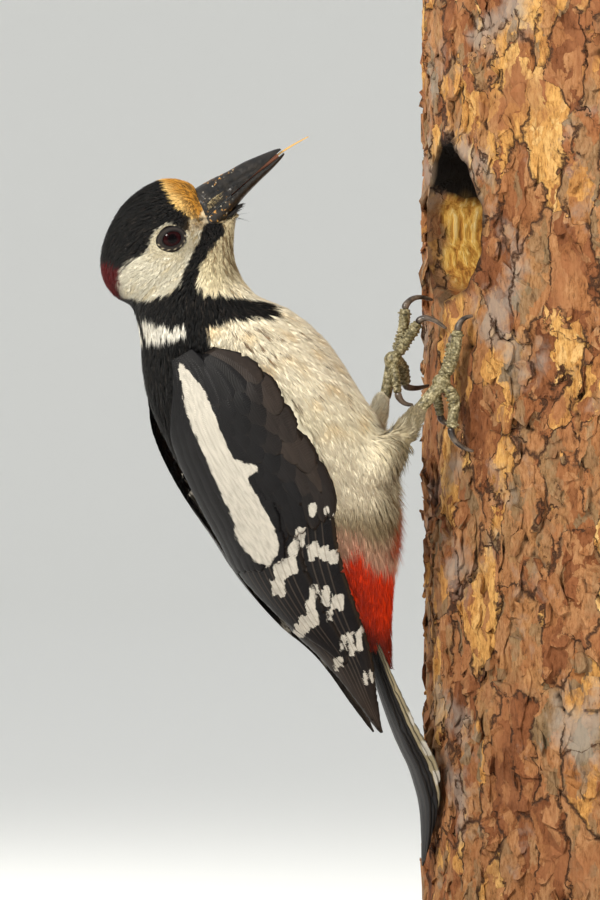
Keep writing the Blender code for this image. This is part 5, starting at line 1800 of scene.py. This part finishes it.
def make_hole(made, loop, layers):
    """Draw the hole's edge in and round to its end, and set what its wall shows: painted shade at the rim,
    bare wood, rot, and painted shadow under the top and deep in.
    """
    deep, wood, dark, rot = layers
    end = LOG_X - LOG_RADIUS + HOLE_DEPTH
    for share in (0.03, 0.06, 0.09, 0.12, 0.18, 0.25, 0.33, 0.42, 0.52, 0.63, 0.75, 0.88, 1.0):
        loop, new_verts = drawn_out(made, loop)
        for vertex in new_verts:
            a = math.atan2(vertex.co.z / MM - HOLE_Z, vertex.co.y / MM - HOLE_Y)
            pinch = 1.0 - HOLE_PINCH * max(math.sin(a), 0.0)
            size = 0.97 - 0.10 * share - 0.22 * max(share - 0.8, 0.0) / 0.2
            rough = 0.5 * math.sin(7.0 * a + 9.0 * share) + 0.4 * math.sin(17.0 * a - 5.0 * share)
            vertex.co.y = (HOLE_Y + (HOLE_WIDE * pinch * size + rough) * math.cos(a)) * MM
            vertex.co.z = (HOLE_Z + (HOLE_HIGH * size + rough) * math.sin(a)) * MM
            y, z = vertex.co.y / MM, vertex.co.z / MM
            start = LOG_X - math.sqrt(LOG_RADIUS ** 2 - y ** 2)
            vertex.co.x = (start + (end - start) * share) * MM
            # Painted shade at the rim where the bark turns in, partly the bark's own dark edge.
            vertex[deep] = 0.75 * max(0.0, 1.0 - share / 0.13)
            vertex[wood] = min(1.0, max(0.0, (share - 0.10 + 0.02 * math.sin(9.0 * a)) / 0.03))
            vertex[rot] = 0.9 * min(1.0, max(0.0, (WOOD_ROT - z) / 12.0)) + 0.5 * max(0.0, 0.14 - share) / 0.1
            # Painted shadow under the hole's upper rim, and painted dark from a little way in.
            shadow = 250.0 + 3.0 * math.sin(0.35 * y + 1.0) - 14.0 * share
            vertex[dark] = min(1.0, max(z - shadow, 0.0) / 2.5 + 2.5 * max(share - 0.42, 0.0))
    bmesh.ops.contextual_create(made, geom=loop)
    bmesh.ops.triangulate(made, faces=[f for f in made.faces if len(f.verts) > 4])


def make_sawn_end(made, top, deep):
    """Close the log's foot or top by rings of faces towards the pith."""
    loop = [e for e in made.edges if e.is_boundary and (e.verts[0].co.z > 0.2) == top]
    for share in (0.965, 0.86, 0.62, 0.34, 0.1):
        loop, new_verts = drawn_out(made, loop)
        for vertex in new_verts:
            r = math.hypot(vertex.co.x - LOG_X * MM, vertex.co.y)
            reach = (LOG_RADIUS * MM) * share / max(r, 1e-6)
            vertex.co.x = LOG_X * MM + (vertex.co.x - LOG_X * MM) * reach
            vertex.co.y *= reach
            vertex.co.z = (LOG_TOP if top else LOG_FOOT) * MM
            vertex[deep] = 0.0
    bmesh.ops.triangulate(made, faces=bmesh.ops.contextual_create(made, geom=loop)["faces"])


def make_log():
    """The bark all round, the hole and the two sawn ends, as one closed mesh."""
    fine = np.radians(FINE_START + FINE_SWEEP * np.arange(FINE_COLUMNS) / FINE_COLUMNS)
    wide = np.radians(FINE_START + FINE_SWEEP + (360.0 - FINE_SWEEP) * np.arange(WIDE_COLUMNS) / WIDE_COLUMNS)
    angle, height, quads = log_grid(np.concatenate([fine, wide]), np.linspace(LOG_FOOT, LOG_TOP, ROWS + 1))
    relief = bark_relief(angle, height)
    relief *= ease(0, 2, height - LOG_FOOT) * ease(0, 2, LOG_TOP - height)
    points = on_log(angle, height, bark_radius(angle, height) + relief)
    within = (inside(points[:, 1:], hole_outline(160)) > 0.0) & (points[:, 0] < 0.0)
    mesh = new_mesh("bark", points, quads[~within[quads].any(axis=1)])
    made = bmesh.new()
    made.from_mesh(mesh)
    layers = [made.verts.layers.float.new(name) for name in BARK_FACTS]
    deep = layers[0]
    # Painted shade in the bark's deepest cracks.
    for vertex, value in zip(made.verts, ease(-1.3, -2.6, relief).tolist()):
        vertex[deep] = value
    for vertex in [v for v in made.verts if not v.link_faces]:
        made.verts.remove(vertex)
    low, high = (LOG_FOOT + 1) * MM, (LOG_TOP - 1) * MM
    loop = [e for e in made.edges if e.is_boundary and all(low < v.co.z < high for v in e.verts)]
    dense = hole_outline(1440)
    for vertex in sorted({v for e in loop for v in e.verts}, key=lambda v: v.index):
        near = dense[np.argmin(np.hypot(dense[:, 0] - vertex.co.y / MM, dense[:, 1] - vertex.co.z / MM))]
        vertex.co.y, vertex.co.z = near * MM
        vertex.co.x = (LOG_X - math.sqrt((LOG_RADIUS + 0.2) ** 2 - near[0] ** 2)) * MM
        # Painted shade along the hole's rim.
        vertex[deep] = 0.7
    make_hole(made, loop, layers)
    for top in (False, True):
        make_sawn_end(made, top, deep)
    bmesh.ops.recalc_face_normals(made, faces=made.faces)
    for face in made.faces:
        flat = all(
            abs(v.co.z / MM - LOG_TOP) < 0.01 or abs(v.co.z / MM - LOG_FOOT) < 0.01 for v in face.verts
        )
        face.material_index = int(flat)
        face.smooth = not flat
    made.to_mesh(mesh)
    made.free()
    return mesh


def sawn_material():
    """Sawn pine ends: pale rings round the pith, saw marks too fine to see."""
    made, add, surface = shader("sawn pine", IOR=1.45, Roughness=0.7)
    place = add("TexCoord").outputs["Object"]
    moved = add(
        "Mapping",
        {"Vector": place, "Location": (-LOG_X * MM - 0.006, 0.005, 0.0), "Scale": (1.0, 1.0, 0.0)},
    )
    waver = add("TexNoise", {"Vector": moved, "Scale": 24.0, "Detail": 3.0})
    radius = add("VectorMath", {0: moved}, operation="LENGTH")
    grown = add("Math", {0: waver, 1: 0.010, 2: radius}, operation="MULTIPLY_ADD")
    rings = add(
        "TexNoise", {"W": grown, "Scale": 330.0, "Detail": 3.0, "Roughness": 0.6},
        noise_dimensions="1D",
    )
    body = add(
        "ValToRGB", {"Fac": rings},
        ((0.36, "a97640"), (0.44, "cfa263"), (0.52, "e2c08a"), (0.66, "ecd2a2"))
    )
    fibre = add("TexNoise", {"Vector": moved, "Scale": 240.0, "Detail": 6.0})
    mottle = add("ValToRGB", {"Fac": fibre}, ((0.3, "b8a48a"), (0.6, "ffffff")))
    sawn = add("Mix", {0: 0.7, 6: body, 7: mottle}, **DARKENED)
    plug(surface, "Base Color", sawn)
    return made


SAWN = sawn_material()
finish_piece("trunk_bark", make_log(), [BARK, SAWN], "pine_bark", "perch_log")


def flake_tree():
    """Geometry Nodes: thin curled plates of bark over a surface."""
    add, given = node_tree("bark flakes", "Spacing", "Width", "Thickness")
    spread = scattered(add, given, 60000.0)
    plate = add("GeometryNodeMeshCylinder", {"Vertices": 11, "Radius": 1.0, "Depth": 1.0})
    upright = add("FunctionNodeAlignRotationToVector", {"Vector": spread.outputs["Normal"]}, axis="Z")
    hung = add(
        "FunctionNodeAlignRotationToVector", {"Rotation": upright, "Vector": (0.0, 0.0, 1.0)},
        axis="Y", pivot_axis="Z",
    )
    turn = jittered(add, hung, (0.10, 0.07, 0.5), given["Seed"])
    sizes = (given["Width"], given["Width"], given["Thickness"])
    placed = copies_on(add, spread, plate, turn, sizes, (0.45, 0.6, 0.7), (1.25, 2.3, 1.5), 3)
    place = add("GeometryNodeInputPosition")
    cloud = add("TexNoise", {"Vector": place, "Scale": 260.0, "Detail": 3.0})
    return finish_tree(add, placed, given["Material"], smooth=False, shift=wander(add, cloud, 0.0075))


def flake_ground():
    """The trunk's surface that flakes lie on: all round, but clear of the hole and the feet."""
    angles, heights = np.radians(np.arange(0.0, 360.0, 2.5)), np.arange(LOG_FOOT + 6.0, LOG_TOP - 5.0, 4.0)
    angle, height, quads = log_grid(angles, heights)
    points = on_log(angle, height, bark_radius(angle, height) + 0.1)
    middle = points[quads].mean(axis=1)
    front = middle[:, 0] < -10.0
    near_hole = front & (inside(middle[:, 1:], hole_outline(60)) > -4.0)
    near_feet = front & (abs(middle[:, 1]) < 24.0) & (abs(middle[:, 2] - 196.0) < 28.0)
    return new_mesh("ground", points, quads[~(near_hole | near_feet)])


ground = new_object("ground", flake_ground())
flakes = run_nodes(flake_tree(), ground, {
    "Spacing": 7.5 * MM, "Width": 3.4 * MM, "Thickness": 0.9 * MM, "Seed": SEED, "Material": BARK,
})
flakes.materials.clear()
finish_piece("bark_flakes", flakes, [BARK], "pine_bark")


# The stand keeps its solids.

for name, material, slot in (
    ("stand_base", WALNUT, "stand_wood"), ("stand_rod_front", STEEL, "stand_steel"),
    ("stand_rod_rear", STEEL, "stand_steel"),
):
    for held in NODES[name].material_slots:
        held.link = "OBJECT"
        held.material = material


# The studio: a pale floor that curves up all round, soft lights and the camera.

CENTRE = np.array([-0.0753, 0.0, 0.173])
VIEW = np.array([math.sin(math.radians(20.0)), math.cos(math.radians(20.0)), 0.0])
VIEW_RIGHT = np.array([VIEW[1], -VIEW[0], 0.0])
CAMERA_AWAY, VIEW_HIGH, SENSOR = 3.0, 0.27, 24.0
FLOOR_SIDES = 72


def studio_floor():
    """A pale disc whose edge curves up into a wall."""
    profile = [(2.0, 0.0), (5.0, 0.0), (8.0, 0.0)]
    profile += [
        (8.0 + 3.0 * math.sin(a), 3.0 - 3.0 * math.cos(a)) for a in np.radians(np.arange(10.0, 91.0, 10.0))
    ]
    profile += [(11.0, 5.0), (11.0, 8.0)]
    a = full_turn(FLOOR_SIDES)
    rings = [np.stack([r * np.cos(a), r * np.sin(a), np.full(FLOOR_SIDES, z)], axis=1) for r, z in profile]
    points = np.concatenate([np.zeros((1, 3)), *rings])
    index = np.arange(1, len(points)).reshape(-1, FLOOR_SIDES)
    faces = [(0, 1 + i, 1 + (i + 1) % FLOOR_SIDES) for i in range(FLOOR_SIDES)]
    faces += grid_faces(index, wrap=True)[:, [0, 3, 2, 1]].tolist()
    paper, _, _ = shader(
        "matt backdrop paper", Roughness=0.95, Base_Color=rgb("f3f3f0"), Specular_IOR_Level=0.1,
    )
    mesh = new_mesh("studio_floor", points / MM, faces)
    mesh.materials.append(paper)
    new_object("studio_floor", mesh)


def light(name, right, back, up, size, watts, colour, glossy=True):
    """A round soft light that looks at the middle of the model, placed from there as the camera sees it."""
    data = bpy.data.lights.new(name, "AREA")
    data.shape, data.size, data.energy, data.color = "DISK", size, watts, colour
    obj = new_object(name, data)
    place = CENTRE + VIEW_RIGHT * right - VIEW * back + np.array([0.0, 0.0, up])
    obj.location = place
    obj.rotation_euler = Vector(CENTRE - place).to_track_quat("-Z", "Y").to_euler()
    obj.visible_camera, obj.visible_glossy = False, glossy


studio_floor()
light("key", -0.75, 1.0, 0.75, 0.30, 20.0, (1.0, 0.95, 0.86))
light("fill", 1.0, 1.1, 0.2, 0.9, 12.0, (1.0, 0.98, 0.94), glossy=False)
light("rim", -0.9, -0.7, 0.6, 0.5, 10.0, (1.0, 0.98, 0.95), glossy=False)
world = bpy.data.worlds.new("studio")
world.use_nodes = True
for socket, value in (("Color", rgb("e8e9ea")), ("Strength", 0.95)):
    world.node_tree.nodes["Background"].inputs[socket].default_value = value
bpy.context.scene.world = world
bpy.context.scene.view_settings.view_transform = "Standard"

camera_data = bpy.data.cameras.new("camera")
camera_data.sensor_width = SENSOR
camera_data.lens = SENSOR * CAMERA_AWAY / VIEW_HIGH
camera_data.clip_start, camera_data.clip_end = 0.05, 40.0
camera = new_object("camera", camera_data)
camera.location = CENTRE - VIEW * CAMERA_AWAY
camera.rotation_euler = Vector(VIEW).to_track_quat("-Z", "Y").to_euler()
bpy.context.scene.camera = camera
